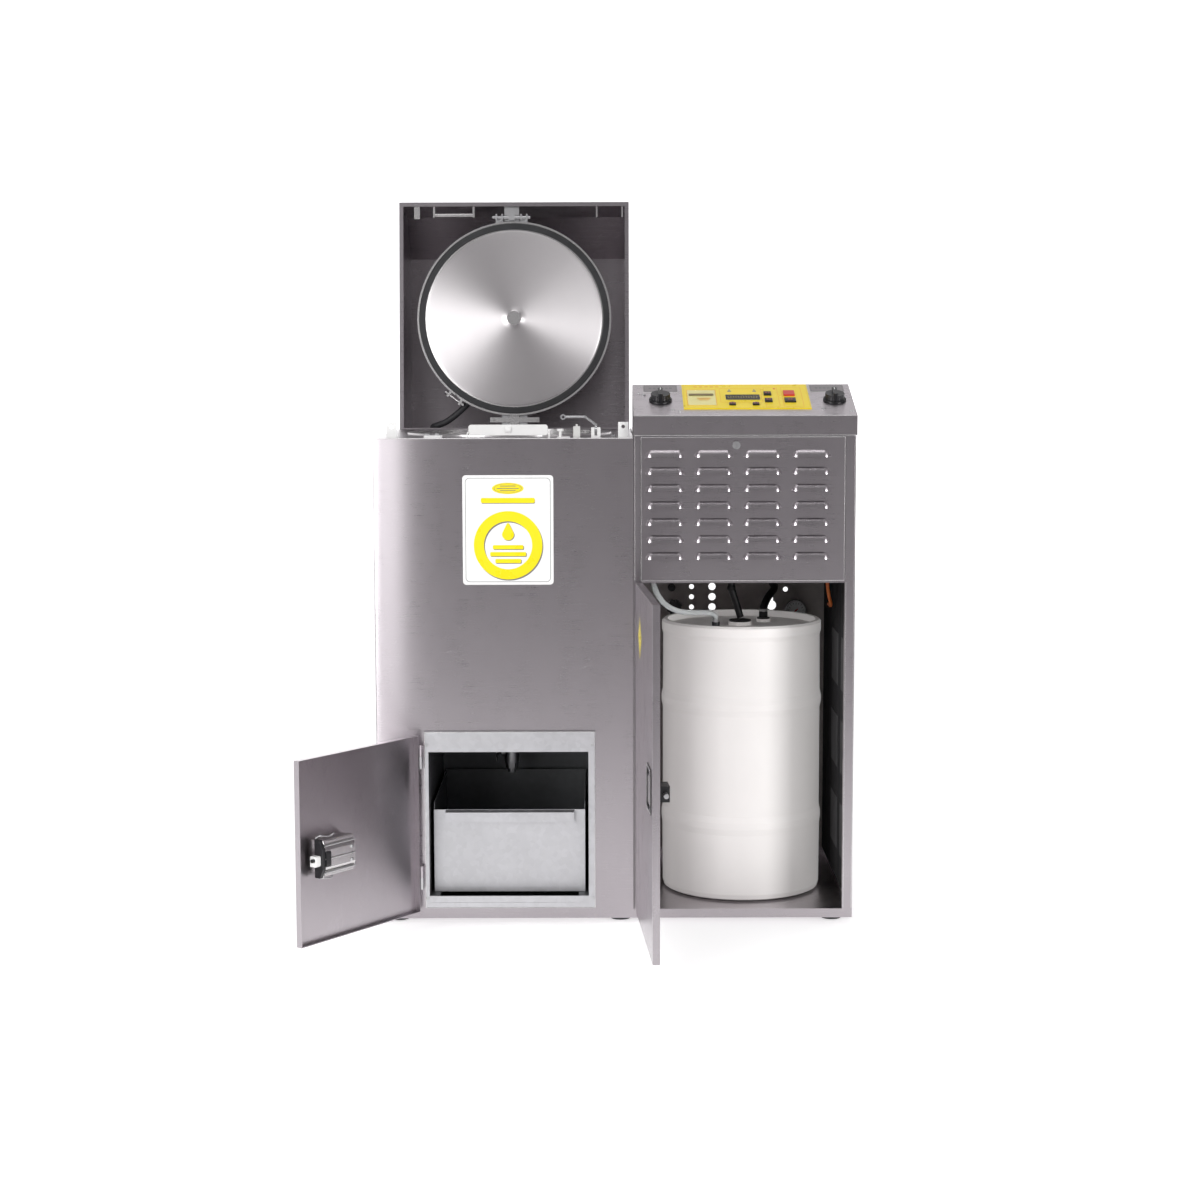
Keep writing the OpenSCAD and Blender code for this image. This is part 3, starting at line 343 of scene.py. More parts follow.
def closed_to_rest(joint):
    """The matrix that takes a hinged body from shut, where its joint is at its lower limit, to rest."""
    spec = JOINTS[joint]
    pivot = Vector(spec["pos_m"])
    turn = Matrix.Rotation(math.radians(-spec["range_deg"][0]), 4, Vector(spec["axis"]))
    return Matrix.Translation(pivot) @ turn @ Matrix.Translation(-pivot)


COVER = closed_to_rest("cover_hinge")
BIN_DOOR = closed_to_rest("bin_door_hinge")
DRUM_DOOR = closed_to_rest("drum_door_hinge")


def shut_box(node, pose):
    """A node's lowest and highest corner with its body shut."""
    back = pose.inverted()
    points = [back @ v.co for v in NODES[node].data.vertices]
    low = Vector([min(p[i] for p in points) for i in range(3)])
    high = Vector([max(p[i] for p in points) for i in range(3)])
    return low, high


def place(name, bm, material, body, slot, pose=None, smooth=True, bevel=0.0):
    """Turns a bmesh into a piece that rides on a body."""
    mesh = bpy.data.meshes.new(name)
    bmesh.ops.recalc_face_normals(bm, faces=bm.faces)
    bm.to_mesh(mesh)
    bm.free()
    if pose is not None:
        mesh.transform(pose)
    obj = bpy.data.objects.new(name, mesh)
    bpy.context.collection.objects.link(obj)
    mesh.materials.append(material)
    if smooth:
        for face in mesh.polygons:
            face.use_smooth = True
        split = obj.modifiers.new("edges", "EDGE_SPLIT")
        split.split_angle = math.radians(35)
    if bevel:
        rounding = obj.modifiers.new("bevel", "BEVEL")
        rounding.width = bevel
        rounding.segments = 2
        rounding.limit_method = "ANGLE"
        obj.modifiers.move(len(obj.modifiers) - 1, 0)
    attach(obj, body)
    return obj


def basis(axis):
    """Two directions across an axis."""
    axis = axis.normalized()
    side = axis.cross(UP) if abs(axis.z) < 0.9 else axis.cross(BACK)
    side.normalize()
    return side, axis.cross(side)


def slab(bm, low, high):
    """A box between two corners."""
    low, high = Vector(low), Vector(high)
    made = bmesh.ops.create_cube(bm, size=1.0)
    matrix = Matrix.Translation((low + high) / 2) @ Matrix.Diagonal((*(high - low), 1))
    bmesh.ops.transform(bm, matrix=matrix, verts=made["verts"])


def lathe(bm, centre, axis, profile, segments=48, phase=0.0):
    """Turns a profile of (radius, height) points round an axis through a centre."""
    centre = Vector(centre)
    side, other = basis(axis)
    axis = axis.normalized()
    rings = []
    for radius, height in profile:
        if radius < 1e-7:
            rings.append([bm.verts.new(centre + axis * height)])
            continue
        ring = []
        for i in range(segments):
            a = phase + 2 * math.pi * i / segments
            ring.append(bm.verts.new(centre + axis * height + side * radius * math.cos(a)
                                     + other * radius * math.sin(a)))
        rings.append(ring)
    for low, high in zip(rings, rings[1:]):
        if len(low) == 1 and len(high) == 1:
            continue
        for i in range(segments):
            j = (i + 1) % segments
            loop = [low[i % len(low)], low[j % len(low)], high[j % len(high)], high[i % len(high)]]
            corners = []
            for vert in loop:
                if vert not in corners:
                    corners.append(vert)
            bm.faces.new(corners)


def pan_screw(bm, centre, axis, radius):
    """A domed screw head with a hex socket."""
    lathe(bm, centre, axis, [(radius, 0), (radius * 0.96, radius * 0.3), (radius * 0.7, radius * 0.55),
                             (radius * 0.42, radius * 0.6)], 24)
    socket = radius * 0.42
    lathe(bm, centre, axis, [(socket, radius * 0.6), (socket, radius * 0.25), (0, radius * 0.25)], 6)


def smooth_route(points, steps):
    """Points on a smooth curve through the given ones."""
    points = [Vector(p) for p in points]
    ends = [points[0] * 2 - points[1]] + points + [points[-1] * 2 - points[-2]]
    route = []
    for i in range(1, len(ends) - 2):
        p0, p1, p2, p3 = ends[i - 1:i + 3]
        for k in range(steps):
            t = k / steps
            route.append(0.5 * (2 * p1 + (p2 - p0) * t + (2 * p0 - 5 * p1 + 4 * p2 - p3) * t * t
                                + (3 * p1 - p0 - 3 * p2 + p3) * t ** 3))
    route.append(ends[-2])
    return route


def tube(bm, route, radius, sides=16, ribs=0.0, pitch=0.004, caps=True):
    """Sweeps a circle along a route. Ribs swell it every pitch."""
    side = None
    rings = []
    walked = 0.0
    for i, point in enumerate(route):
        if i:
            walked += (point - route[i - 1]).length
        ahead = route[min(i + 1, len(route) - 1)] - route[max(i - 1, 0)]
        ahead.normalize()
        if side is None:
            side = basis(ahead)[0]
        side = (side - ahead * side.dot(ahead)).normalized()
        other = ahead.cross(side)
        r = radius - ribs * 0.5 * (1 + math.cos(2 * math.pi * walked / pitch))
        rings.append([bm.verts.new(point + side * r * math.cos(2 * math.pi * k / sides)
                                   + other * r * math.sin(2 * math.pi * k / sides)) for k in range(sides)])
    for low, high in zip(rings, rings[1:]):
        for k in range(sides):
            bm.faces.new([low[k], low[(k + 1) % sides], high[(k + 1) % sides], high[k]])
    if caps:
        bm.faces.new(rings[0])
        bm.faces.new(rings[-1])


def outline(bm, points, origin, across, along, thickness):
    """A flat raised shape from 2-D points, on a surface with the given directions."""
    normal = across.cross(along).normalized()
    low = [bm.verts.new(origin + across * x + along * y) for x, y in points]
    high = [bm.verts.new(origin + across * x + along * y + normal * thickness) for x, y in points]
    bm.faces.new(high)
    bm.faces.new(low)
    for i in range(len(points)):
        j = (i + 1) % len(points)
        bm.faces.new([low[i], low[j], high[j], high[i]])


def rounded_rect(width, height, radius, steps=5):
    points = []
    for cx, cy, start in ((1, 1, 0), (-1, 1, 90), (-1, -1, 180), (1, -1, 270)):
        for k in range(steps + 1):
            a = math.radians(start + 90 * k / steps)
            points.append((cx * (width / 2 - radius) + radius * math.cos(a),
                           cy * (height / 2 - radius) + radius * math.sin(a)))
    return points


def shifted(points, dx, dy):
    return [(x + dx, y + dy) for x, y in points]


def frame_outline(bm, outer, inner, origin, across, along, thickness):
    """A flat raised band between two outlines with the same number of points."""
    normal = across.cross(along).normalized()
    rings = []
    for points, lift in ((outer, 0), (outer, thickness), (inner, thickness), (inner, 0)):
        rings.append([bm.verts.new(origin + across * x + along * y + normal * lift) for x, y in points])
    rings.append(rings[0])
    for low, high in zip(rings, rings[1:]):
        for i in range(len(outer)):
            j = (i + 1) % len(outer)
            bm.faces.new([low[i], low[j], high[j], high[i]])


# --------------------------------------------------- the CAD nodes' looks

SHARP_EDGES = {
    "stainless": 0.0007, "stainless_bright": 0.0005, "galvanised": 0.0006, "white_coat": 0.0012,
    "black_plastic": 0.0007, "red_plastic": 0.0012, "switch_grey": 0.001, "yellow_panel": 0.0005,
    "zinc": 0.0005, "white_label": 0.0, "window": 0.0003, "dark_steel": 0.0006,
}


def dress_nodes():
    """Gives each CAD node the material of its slot, and rounds its sharp edges a little."""
    for name, obj in NODES.items():
        slot = SLOT_OF[name]
        material = FRONT_PANEL if name == "left_front_panel" else MATERIAL[slot]
        if not obj.material_slots:
            obj.data.materials.append(material)
        for holder in obj.material_slots:
            holder.material = material
        width = SHARP_EDGES.get(slot, 0.0)
        if width and name not in ("condenser_coil", "louvre_panel"):
            rounding = obj.modifiers.new("bevel", "BEVEL")
            rounding.width = width
            rounding.segments = 2
            rounding.limit_method = "ANGLE"
            rounding.angle_limit = math.radians(40)


dress_nodes()


def recolour_inside(name, material, keep):
    """Gives a sheet-metal node another material on the faces that the test doesn't keep."""
    mesh = NODES[name].data
    mesh.materials.append(material)
    for face in mesh.polygons:
        x, y, z = (face.center.x / MM + FOOT_X, face.center.y / MM + FOOT_Y, face.center.z / MM)
        if not keep(x, y, z, face.normal):
            face.material_index = len(mesh.materials) - 1


def insides():
    """Painted shade: the inner faces of the shells and the right frame get a darker copy of the stainless,
    and those of the bin liner and bin a darker copy of the galvanised sheet; the back panel's inner face gets
    a matt grey.
    """
    margin = 0.8
    recolour_inside("right_shell", SHELL_PAINTED_SHADE, lambda x, y, z, n: x < RIGHT_X + margin or x > TOTAL_W - margin
                or y > DEPTH - margin or z > RIGHT_TOP - margin)
    recolour_inside("right_shell", BACK_INSIDE, lambda x, y, z, n: n.y > -0.5 or y < 600)
    recolour_inside("left_shell", SHELL_PAINTED_SHADE, lambda x, y, z, n: x < margin or x > RIGHT_X - 1 - margin
                or y > DEPTH - margin or z > DECK_Z - margin)
    recolour_inside("right_frame", SHELL_PAINTED_SHADE, lambda x, y, z, n: y < margin or z > SHELF_Z)
    # Painted shade inside the bin and its liner.
    recolour_inside("bin_liner", ZINC_PAINTED_SHADE, lambda x, y, z, n: y < 6)
    recolour_inside("collecting_bin", ZINC_PAINTED_SHADE, lambda x, y, z, n: y < 37 or n.z > 0.5 and z > 230)


insides()


# ------------------------------------------------------------------ hoses

def in_frame(points):
    """Points given in the machine's millimetres."""
    return [Vector(((x - FOOT_X) * MM, (y - FOOT_Y) * MM, z * MM)) for x, y, z in points]


CLEAR_ROUTE = [(605, 70, 753), (607, 72, 740), (616, 78, 718), (632, 88, 698), (652, 104, 684),
               (676, 122, 676), (702, 142, 673), (728, 162, 670), (744, 175, 664), (748, 178, 656),
               (748, 178, 648.3)]
VENT_ROUTE = [(868, 360, 650.3), (868, 360, 656), (874, 376, 670), (886, 410, 684), (900, 460, 692),
              (906, 530, 694), (906, 590, 694)]
PURGE_ROUTE = [(1010, 300, 754), (1010, 300, 736), (1012, 302, 712), (1016, 310, 690), (1022, 330, 672),
               (1024, 360, 664), (1024, 392, 664)]
VAPOUR_ROUTE = [(166, 552, 1090), (152, 566, 1088), (134, 582, 1086), (114, 596, 1086), (96, 603, 1090),
                (84, 606, 1102), (80, 607, 1120), (80, 607, 1140)]


def hoses():
    """Smooth hoses in place of the straight-cut ones: node, route, radius, ribs, body and shut pose."""
    specs = [
        ("clear_hose", CLEAR_ROUTE, 0.0060, 0.0, "cabinet", None),
        ("vent_hose", VENT_ROUTE, 0.0090, 0.0006, "cabinet", None),
        ("purge_hose", PURGE_ROUTE, 0.0040, 0.0, "cabinet", None),
        ("vapour_hose", VAPOUR_ROUTE, 0.0080, 0.0008, "cover", COVER),
    ]
    for node, points, radius, ribs, body, pose in specs:
        bm = bmesh.new()
        tube(bm, smooth_route(in_frame(points), 24), radius, 20, ribs)
        piece = place(node + "_smooth", bm, MATERIAL[SLOT_OF[node]], body, SLOT_OF[node], pose)
        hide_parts(node)


hoses()


# ------------------------------------------------------- the vessel's lid

def vessel_lid_face():
    """The lid's spun face: a shallow cone with a pressed boss, round its own axis."""
    gasket_low, gasket_high = shut_box("lid_gasket", COVER)
    centre = (gasket_low + gasket_high) / 2
    lid_low = shut_box("vessel_lid", COVER)[0]
    boss = (lid_low.z - gasket_low.z) + 0.0002
    rim = 0.0004
    boss_r, cone_r = 0.0185, 0.206
    bm = bmesh.new()
    profile = [(0, boss + 0.0012), (0.005, boss + 0.0010), (0.011, boss + 0.0002), (0.0150, boss),
               (0.0172, boss + 0.0016), (boss_r, boss + 0.0026)]
    steps = 14
    for k in range(1, steps + 1):
        t = k / steps
        profile.append((boss_r + (cone_r - boss_r) * t, boss + 0.0026 + (rim - boss - 0.0030) * t))
    profile += [(0.2095, rim - 0.0002), (0.2125, rim + 0.0002), (0.2155, rim + 0.0012)]
    lathe(bm, (0, 0, 0), UP, profile, 128)
    mesh = bpy.data.meshes.new("vessel_lid_face")
    bmesh.ops.recalc_face_normals(bm, faces=bm.faces)
    bm.to_mesh(mesh)
    bm.free()
    obj = bpy.data.objects.new("vessel_lid_face", mesh)
    bpy.context.collection.objects.link(obj)
    mesh.materials.append(LID_DISC)
    for face in mesh.polygons:
        face.use_smooth = True
    obj.matrix_world = COVER @ Matrix.Translation(Vector((centre.x, centre.y, gasket_low.z)))
    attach(obj, "cover")


vessel_lid_face()


# ------------------------------------------------- printed marks and plates

def at(x, y, z):
    """A point given in the machine's millimetres."""
    return in_frame([(x, y, z)])[0]


def scaled(points, factor=MM):
    return [(x * factor, y * factor) for x, y in points]


def disc(radius, cx=0.0, cy=0.0, count=40, squash=1.0, start=0.0, turn=360.0):
    return [(cx + radius * math.cos(math.radians(start + turn * k / count)),
             cy + radius * squash * math.sin(math.radians(start + turn * k / count))) for k in range(count)]


def bar(cx, cy, width, height, radius=0.4):
    return shifted(rounded_rect(width, height, radius, 3), cx, cy)


def droplet(cx, cy, radius, count=36):
    """A drop: a circle drawn out to a point above."""
    points = []
    for k in range(count):
        a = 2 * math.pi * k / count
        rise = radius * math.cos(a)
        if rise > 0:
            rise *= 1 + 0.9 * math.cos(a) ** 3
        narrow = 1 if rise <= 0 else 1 - 0.3 * rise / (radius * 1.9)
        points.append((cx + radius * math.sin(a) * narrow, cy + rise))
    return points


def printed(name, shapes, material, body, slot, origin, across, along, lift, pose=None, thickness=0.12):
    """Flat printed shapes, given in millimetres on a surface."""
    normal = across.cross(along).normalized()
    bm = bmesh.new()
    for shape in shapes:
        if isinstance(shape, tuple):
            frame_outline(bm, scaled(shape[0]), scaled(shape[1]), origin + normal * lift * MM, across, along,
                          thickness * MM)
        else:
            outline(bm, scaled(shape), origin + normal * lift * MM, across, along, thickness * MM)
    return place(name, bm, material, body, slot, pose, smooth=False)


def front_sticker():
    """A plain sticker: border, ring and drop, with plain bars."""
    origin = at(290, -1.0, 869.5)
    border = (rounded_rect(184, 225, 9), rounded_rect(182, 223, 8.2))
    printed("sticker_border", [border], PRINT_GREY, "cabinet", "white_label", origin, RIGHT, UP, 0.02)
    lower = -33
    ring = [(disc(74, 0, lower, 72), disc(52, 0, lower, 72))]
    dark = [(disc(74, 2.0, lower - 2.6, 72), disc(52, 2.0, lower - 2.6, 72))]
    bars = [bar(0, lower - 4 - 15 * k, w, 9, 2.5) for k, w in enumerate((66, 78, 56))]
    shadow_bars = [shifted(b, 1.4, -1.6) for b in bars]
    oval = disc(34, 0, 90, 48, 0.36)
    printed("sticker_shadow", dark + [shifted(droplet(0, lower + 24, 13), 1.4, -1.6)] + shadow_bars
            + [bar(0.8, 62.6, 116, 11, 3)], PRINT_GREY, "cabinet", "white_label", origin, RIGHT, UP, 0.02)
    printed("sticker_yellow", ring + [droplet(0, lower + 24, 13)] + bars + [oval, bar(0, 64, 116, 11, 3)],
            PRINT_YELLOW, "cabinet", "white_label", origin, RIGHT, UP, 0.16)
    marks = [bar(0, 90 + 5 * k, w, 1.6, 0.6) for k, w in ((-1, 34), (0, 48), (1, 34))]
    printed("sticker_marks", marks + [(disc(30, 0, 90, 48, 0.34), disc(29, 0, 90, 48, 0.33))], PRINT_GREY,
            "cabinet", "white_label", origin, RIGHT, UP, 0.30, thickness=0.06)


def slope_spot(x, s):
    """A point and directions on the console's sloping top: x in millimetres, s millimetres up the slope."""
    rise, depth, foot = 64.0, 193.0, 1115.0
    angle = math.atan(rise / depth)
    along = Vector((0, math.cos(angle), math.sin(angle)))
    return at(x, -2 + s * math.cos(angle), foot + s * math.sin(angle)), along


def on_console(name, shapes, material, slot, lift=2.25, body="cabinet", thickness=0.12):
    """Shapes in millimetres: x along the console, y up its slope."""
    origin, along = slope_spot(0, 0)
    return printed(name, shapes, material, body, slot, origin, RIGHT, along, lift, thickness=thickness)


def ring_of(points, width):
    """A closed line of a given width round a rectangle given as x, y, width, height."""
    x, y, w, h, r = points
    return (shifted(rounded_rect(w, h, r), x + w / 2, y + h / 2),
            shifted(rounded_rect(w - 2 * width, h - 2 * width, max(r - width, 0.2)), x + w / 2, y + h / 2))


def console_artwork():
    """Legend plates, and the lines, window, display, icons and edge of the yellow panel."""
    plates = [(585, 150), (953, 150)]
    wide, high = 75, 44
    cover = [shifted(rounded_rect(wide, high, 2), x + wide / 2, s + high / 2) for x, s in plates]
    on_console("plate_faces", cover, PLATE, "white_label", 0.84)
    lines = [ring_of((x + 2, s + 3, 71, 38, 2), 1.1) for x, s in plates]
    legend = [bar(x + 15 + 9 * k, s + 25, 6.5, 9, 1.5) for x, s in plates for k in range(6)]
    on_console("plate_legends", lines + legend, PRINT_GREY, "white_label", 0.98, thickness=0.06)
    orange = plastic("print_orange", (0.80, 0.40, 0.01), 0.3, 1200, 0.05, 0.03, 0.15)
    on_console("panel_lines", [ring_of((679, 56, 65, 105, 3), 1.4), ring_of((752, 78, 92, 92, 3), 0.9),
                               ring_of((850, 48, 30, 128, 3), 0.9), ring_of((888, 48, 44, 128, 3), 0.9)]
               + [bar(700 + 12 * k, 180, 8, 6, 1.5) for k in range(5)], orange, "yellow_panel")
    window_top = 3.82
    brown = plastic("print_brown", (0.16, 0.11, 0.02), 0.35, 1200, 0.05, 0.1)
    on_console("window_mark", [bar(711, 125, 54, 12, 1.5)], brown, "window", window_top)
    on_console("window_lines", [bar(716, 101, 30, 4, 1), bar(716, 91, 22, 3, 1)], orange, "window",
               window_top)
    display = plastic("display_glass", (0.03, 0.027, 0.02), 0.15, 1500, 0.02, 0.2, 0.5)
    on_console("display_face", [shifted(rounded_rect(74.6, 31.6, 1.5), 801.5, 108)], display, "window",
               window_top)
    dots = [bar(770 + 5.6 * k, 108 + 6 * (j - 0.5), 3.4, 4.5, 0.4) for k in range(12) for j in range(2)]
    on_console("display_dots", dots, plastic("display_dots", (0.16, 0.14, 0.03), 0.3, 1200, 0.02, 0.1),
               "window", window_top + 0.14, thickness=0.05)
    icons = [bar(774, 150, 9, 6, 2.5), bar(829, 150, 9, 6, 2.5), bar(774, 158, 3, 7, 1),
             bar(829, 158, 3, 7, 1)]
    on_console("panel_icons", icons, PRINT_GREY, "yellow_panel")
    on_console("panel_led", [disc(2.6, 874, 166, 20, 1.4)], PRINT_RED, "yellow_panel")
    on_console("panel_edge", [ring_of((671.5, 39.5, 274, 155, 6), 2.2)],
               plastic("print_deep_yellow", (0.74, 0.55, 0.01), 0.3, 1200, 0.05, 0.03), "yellow_panel")


def key_faces():
    """Rounded key tops, all but the stop key's with a small red legend, riding on their keys."""
    keys = [("key_left", 777, 64, 17, 15), ("key_right", 828, 64, 17, 15), ("key_up", 857, 132, 17, 18),
            ("key_down", 857, 88, 17, 17), ("key_start", 904, 88, 23, 18), ("key_stop", 904, 132, 28, 27)]
    key_top = 5.82
    for node, x, s, w, h in keys:
        body = NODES[node]["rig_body"]
        paint = MATERIAL["red_plastic"] if node == "key_stop" else MATERIAL["black_plastic"]
        shape = disc(w * 0.43, x, s, 32, h / w)
        if node == "key_stop":
            shape = disc(w * 0.42, x, s, 8, h / w, 22.5)
        on_console(node + "_top", [shape], paint, SLOT_OF[node], key_top, body)
        if node != "key_stop":
            legend = [bar(x - 3, s, 2.6, 4.6, 0.6), bar(x + 3, s, 2.6, 4.6, 0.6)]
            on_console(node + "_legend", legend, PRINT_RED, SLOT_OF[node], key_top + 0.14, body, 0.05)


def knob_marks():
    """A white pointer line on each rotary knob."""
    for node, x in (("knob_left", 621), ("knob_right", 1001)):
        origin, along = slope_spot(x, 92)
        printed(node + "_line", [bar(0, 15, 1.6, 14, 0.6)], MATERIAL["white_label"], node, SLOT_OF[node],
                origin, RIGHT, along, 24.05)


def console_screws():
    """Four screw heads on the console's slope."""
    bm = bmesh.new()
    normal = RIGHT.cross(slope_spot(0, 0)[1]).normalized()
    for x, s in ((574, 140), (661, 24), (946, 140), (1030, 24)):
        pan_screw(bm, slope_spot(x, s)[0], normal, 0.0036)
    place("console_screws", bm, MATERIAL["zinc"], "cabinet", "zinc")


front_sticker()
console_artwork()
key_faces()
knob_marks()
console_screws()


# ---------------------------------------------- folded edges and hardware

def bead(bm, a, b, radius):
    """A rolled sheet edge between two points in the machine's millimetres."""
    tube(bm, [at(*a), at(*b)], radius * MM, 10)


def bead_frame(bm, x0, x1, y, z0, z1, radius):
    """Rolled edges on the four sides of an upright rectangle."""
    for a, b in (((x0, y, z0), (x0, y, z1)), ((x1, y, z0), (x1, y, z1)),
                 ((x0, y, z0), (x1, y, z0)), ((x0, y, z1), (x1, y, z1))):
        bead(bm, a, b, radius)


def folded_edge_highlights():
    """Rolled edges of the sheet parts, which catch the light as thin lines; they are made of the brighter
    stainless, so each line is partly a painted highlight.
    """
    bm = bmesh.new()
    bead_frame(bm, 577, 1016, -1.6, 759, 1069, 0.9)
    bead(bm, (562.5, -1.6, 1072.6), (1041, -1.6, 1072.6), 0.9)
    bead(bm, (562.5, -1.4, 1114.4), (1041, -1.4, 1114.4), 0.8)
    bead(bm, (1.5, 0.2, 1066.5), (559, 0.2, 1066.5), 0.8)
    bead(bm, (0.7, 0.6, 36), (0.7, 0.6, 1066), 0.7)
    bead(bm, (1038, 0.2, 36), (1038, 0.2, 1070), 0.8)
    bead(bm, (1020, 0.2, 36), (1020, 0.2, 755), 0.6)
    bead(bm, (563.5, 0.3, 760), (563.5, 0.3, 1070), 0.9)
    place("folded_edge_highlights", bm, MATERIAL["stainless_bright"], "cabinet", "stainless")
    bm = bmesh.new()
    bead_frame(bm, 105, 476, -5.2, 39, 429, 0.8)
    place("bin_frame_edge_highlights", bm, MATERIAL["stainless_bright"], "cabinet", "galvanised")
    bm = bmesh.new()
    right, front, back = 1018.6, -19.4, -6
    for a, b in (((584, front, 35), (584, front, 756)), ((right, front, 35), (right, front, 756)),
                 ((right, back, 35), (right, back, 756)), ((584, front, 756), (right, front, 756)),
                 ((584, back, 756), (right, back, 756)), ((right, front, 756), (right, back, 756))):
        bead(bm, a, b, 0.8)
    place("drum_door_edge_highlights", bm, MATERIAL["stainless_bright"], "drum_door", "stainless", DRUM_DOOR)


def door_diamond():
    """A plain yellow diamond on the outside of the drum door."""
    origin = at(700, -20.05, 652)
    size = 44
    shape = [(-size, 0), (0, -size), (size, 0), (0, size)]
    printed("door_diamond", [shape], PRINT_YELLOW, "drum_door", "stainless", origin, RIGHT, UP, 0.0,
            DRUM_DOOR)
    band = ([(x * 0.9, y * 0.9) for x, y in shape], [(x * 0.84, y * 0.84) for x, y in shape])
    printed("door_diamond_line", [band], PRINT_GREY, "drum_door", "stainless", origin, RIGHT, UP, 0.14,
            DRUM_DOOR, 0.08)


def latch_trim():
    """A bright frame round the drum door's recessed latch."""
    origin = at(938, -21.5, 376)
    band = (rounded_rect(92, 92, 6), rounded_rect(82, 82, 4))
    printed("drum_latch_trim", [band], MATERIAL["stainless_bright"], "drum_door",
            SLOT_OF["drum_latch_case"], origin, RIGHT, UP, 0.05, DRUM_DOOR, 0.8)


def bin_latch_cover():
    """The half-hexagon cover over the bin door's bolt, with end caps, catch and clips."""
    x0, x1, low, high, wall = 336, 428, 176, 252, -6
    section = [(wall, low), (9, low), (16, low + 20), (16, high - 20), (9, high), (wall, high)]
    bm = bmesh.new()
    prism(bm, x0, x1, section)
    slot = SLOT_OF["bin_latch_case"]
    place("bin_latch_cover", bm, MATERIAL["stainless_bright"], "bin_door", slot, BIN_DOOR, False, 0.0012)
    bm = bmesh.new()
    for z, deep in ((186, 17.2), (214, 17.6), (242, 17.2)):
        tube(bm, [at(x0 + 1, deep - 1.5, z), at(x1 + 1, deep - 1.5, z)], 1.9 * MM, 12)
    tube(bm, smooth_route([at(x1 - 46, -4, high + 4), at(x1 - 40, 4, high + 9), at(x1 - 22, 5, high + 5),
                           at(x1 + 2, 4, high + 10), at(x1 + 8, -4, high + 5)], 6), 1.7 * MM, 10)
    tube(bm, smooth_route([at(x1 - 40, -4, low - 3), at(x1 - 30, 4, low - 7), at(x1 - 8, 4, low - 4),
                           at(x1 + 4, -4, low - 3)], 6), 1.7 * MM, 10)
    for z in (200, 228):
        pan_screw(bm, at(x0 + 12, 16, z), BACK, 4.2 * MM)
    place("bin_latch_ribs", bm, MATERIAL["zinc"], "bin_door", slot, BIN_DOOR)
    bm = bmesh.new()
    prism(bm, x1, x1 + 9, [(wall, low - 2), (8, low - 2), (17, low + 18), (17, high - 18), (8, high + 2),
                           (wall, high + 2)])
    prism(bm, x1 - 14, x1, [(15.5, 198), (19, 198), (20, 204), (20, 224), (19, 230), (15.5, 230)])
    lathe(bm, at(x0 + 10, 16.1, 214), BACK, [(0, 0), (3 * MM, 0), (3 * MM, 0.6 * MM), (0, 0.6 * MM)], 20)
    place("bin_latch_caps", bm, MATERIAL["black_plastic"], "bin_door", slot, BIN_DOOR, False, 0.001)
    bm = bmesh.new()
    prism(bm, x1 + 9, x1 + 24, [(-5, 200), (10, 200), (12, 203), (12, 219), (10, 222), (-5, 222)])
    place("bin_latch_catch", bm, MATERIAL["white_label"], "bin_door", slot, BIN_DOOR, False, 0.001)


def prism(bm, x0, x1, section):
    """A bar of one section, given as (y, z) in millimetres, along the cabinet's X."""
    ends = [[bm.verts.new(at(x, y, z)) for y, z in section] for x in (x0, x1)]
    bm.faces.new(ends[0])
    bm.faces.new(ends[1])
    for i in range(len(section)):
        j = (i + 1) % len(section)
        bm.faces.new([ends[0][i], ends[0][j], ends[1][j], ends[1][i]])


def wall_shade_pads_and_gauze():
    """Painted shade: near-black pads cover the inside of the right-hand wall behind its slots, standing in
    for the shade there; grey gauze over each group of slots.
    """
    bm = bmesh.new()
    for near, far in ((20, 214), (216, 410), (412, 606)):
        slab(bm, at(1033.5, near, 37), at(1038.4, far, 752))
    place("side_shade_pad", bm, WALL_SHADE_PAD, "cabinet", "insulation", bevel=0.001)
    bm = bmesh.new()
    for low in (110, 300, 490):
        slab(bm, at(1032.6, 60, low), at(1033.6, 200, low + 120))
        slab(bm, at(1032.6, 260, low), at(1033.6, 400, low + 120))
    place("side_gauze", bm, PAD_GREY, "cabinet", "insulation")


def gauge_parts():
    """Dial, ticks and ring of the pressure gauge."""
    centre = at(963, 572, 628)
    bm = bmesh.new()
    lathe(bm, centre, FRONT, [(22.4 * MM, -5 * MM), (22.4 * MM, -4.4 * MM), (2.2 * MM, -4.4 * MM),
                              (2.2 * MM, -5 * MM)], 48)
    place("gauge_dial", bm, GLASS_WHITE, "cabinet", "dark_steel")
    bm = bmesh.new()
    for k in range(13):
        a = math.radians(-130 + 260 * k / 12)
        inner, outer = (16 if k % 3 else 14) * MM, 20 * MM
        step = Vector((math.sin(a), 0, math.cos(a)))
        sunk = centre + FRONT * -4.2 * MM
        tube(bm, [sunk + step * inner, sunk + step * outer], 0.4 * MM, 6)
    place("gauge_ticks", bm, MATERIAL["black_plastic"], "cabinet", "dark_steel")
    bm = bmesh.new()
    ring = [(22.6, -1.5), (22.6, 1.6), (24, 2.2), (25.6, 1.2), (25.6, -6)]
    lathe(bm, centre, FRONT, scaled(ring), 48)
    place("gauge_ring", bm, MATERIAL["zinc"], "cabinet", "dark_steel")


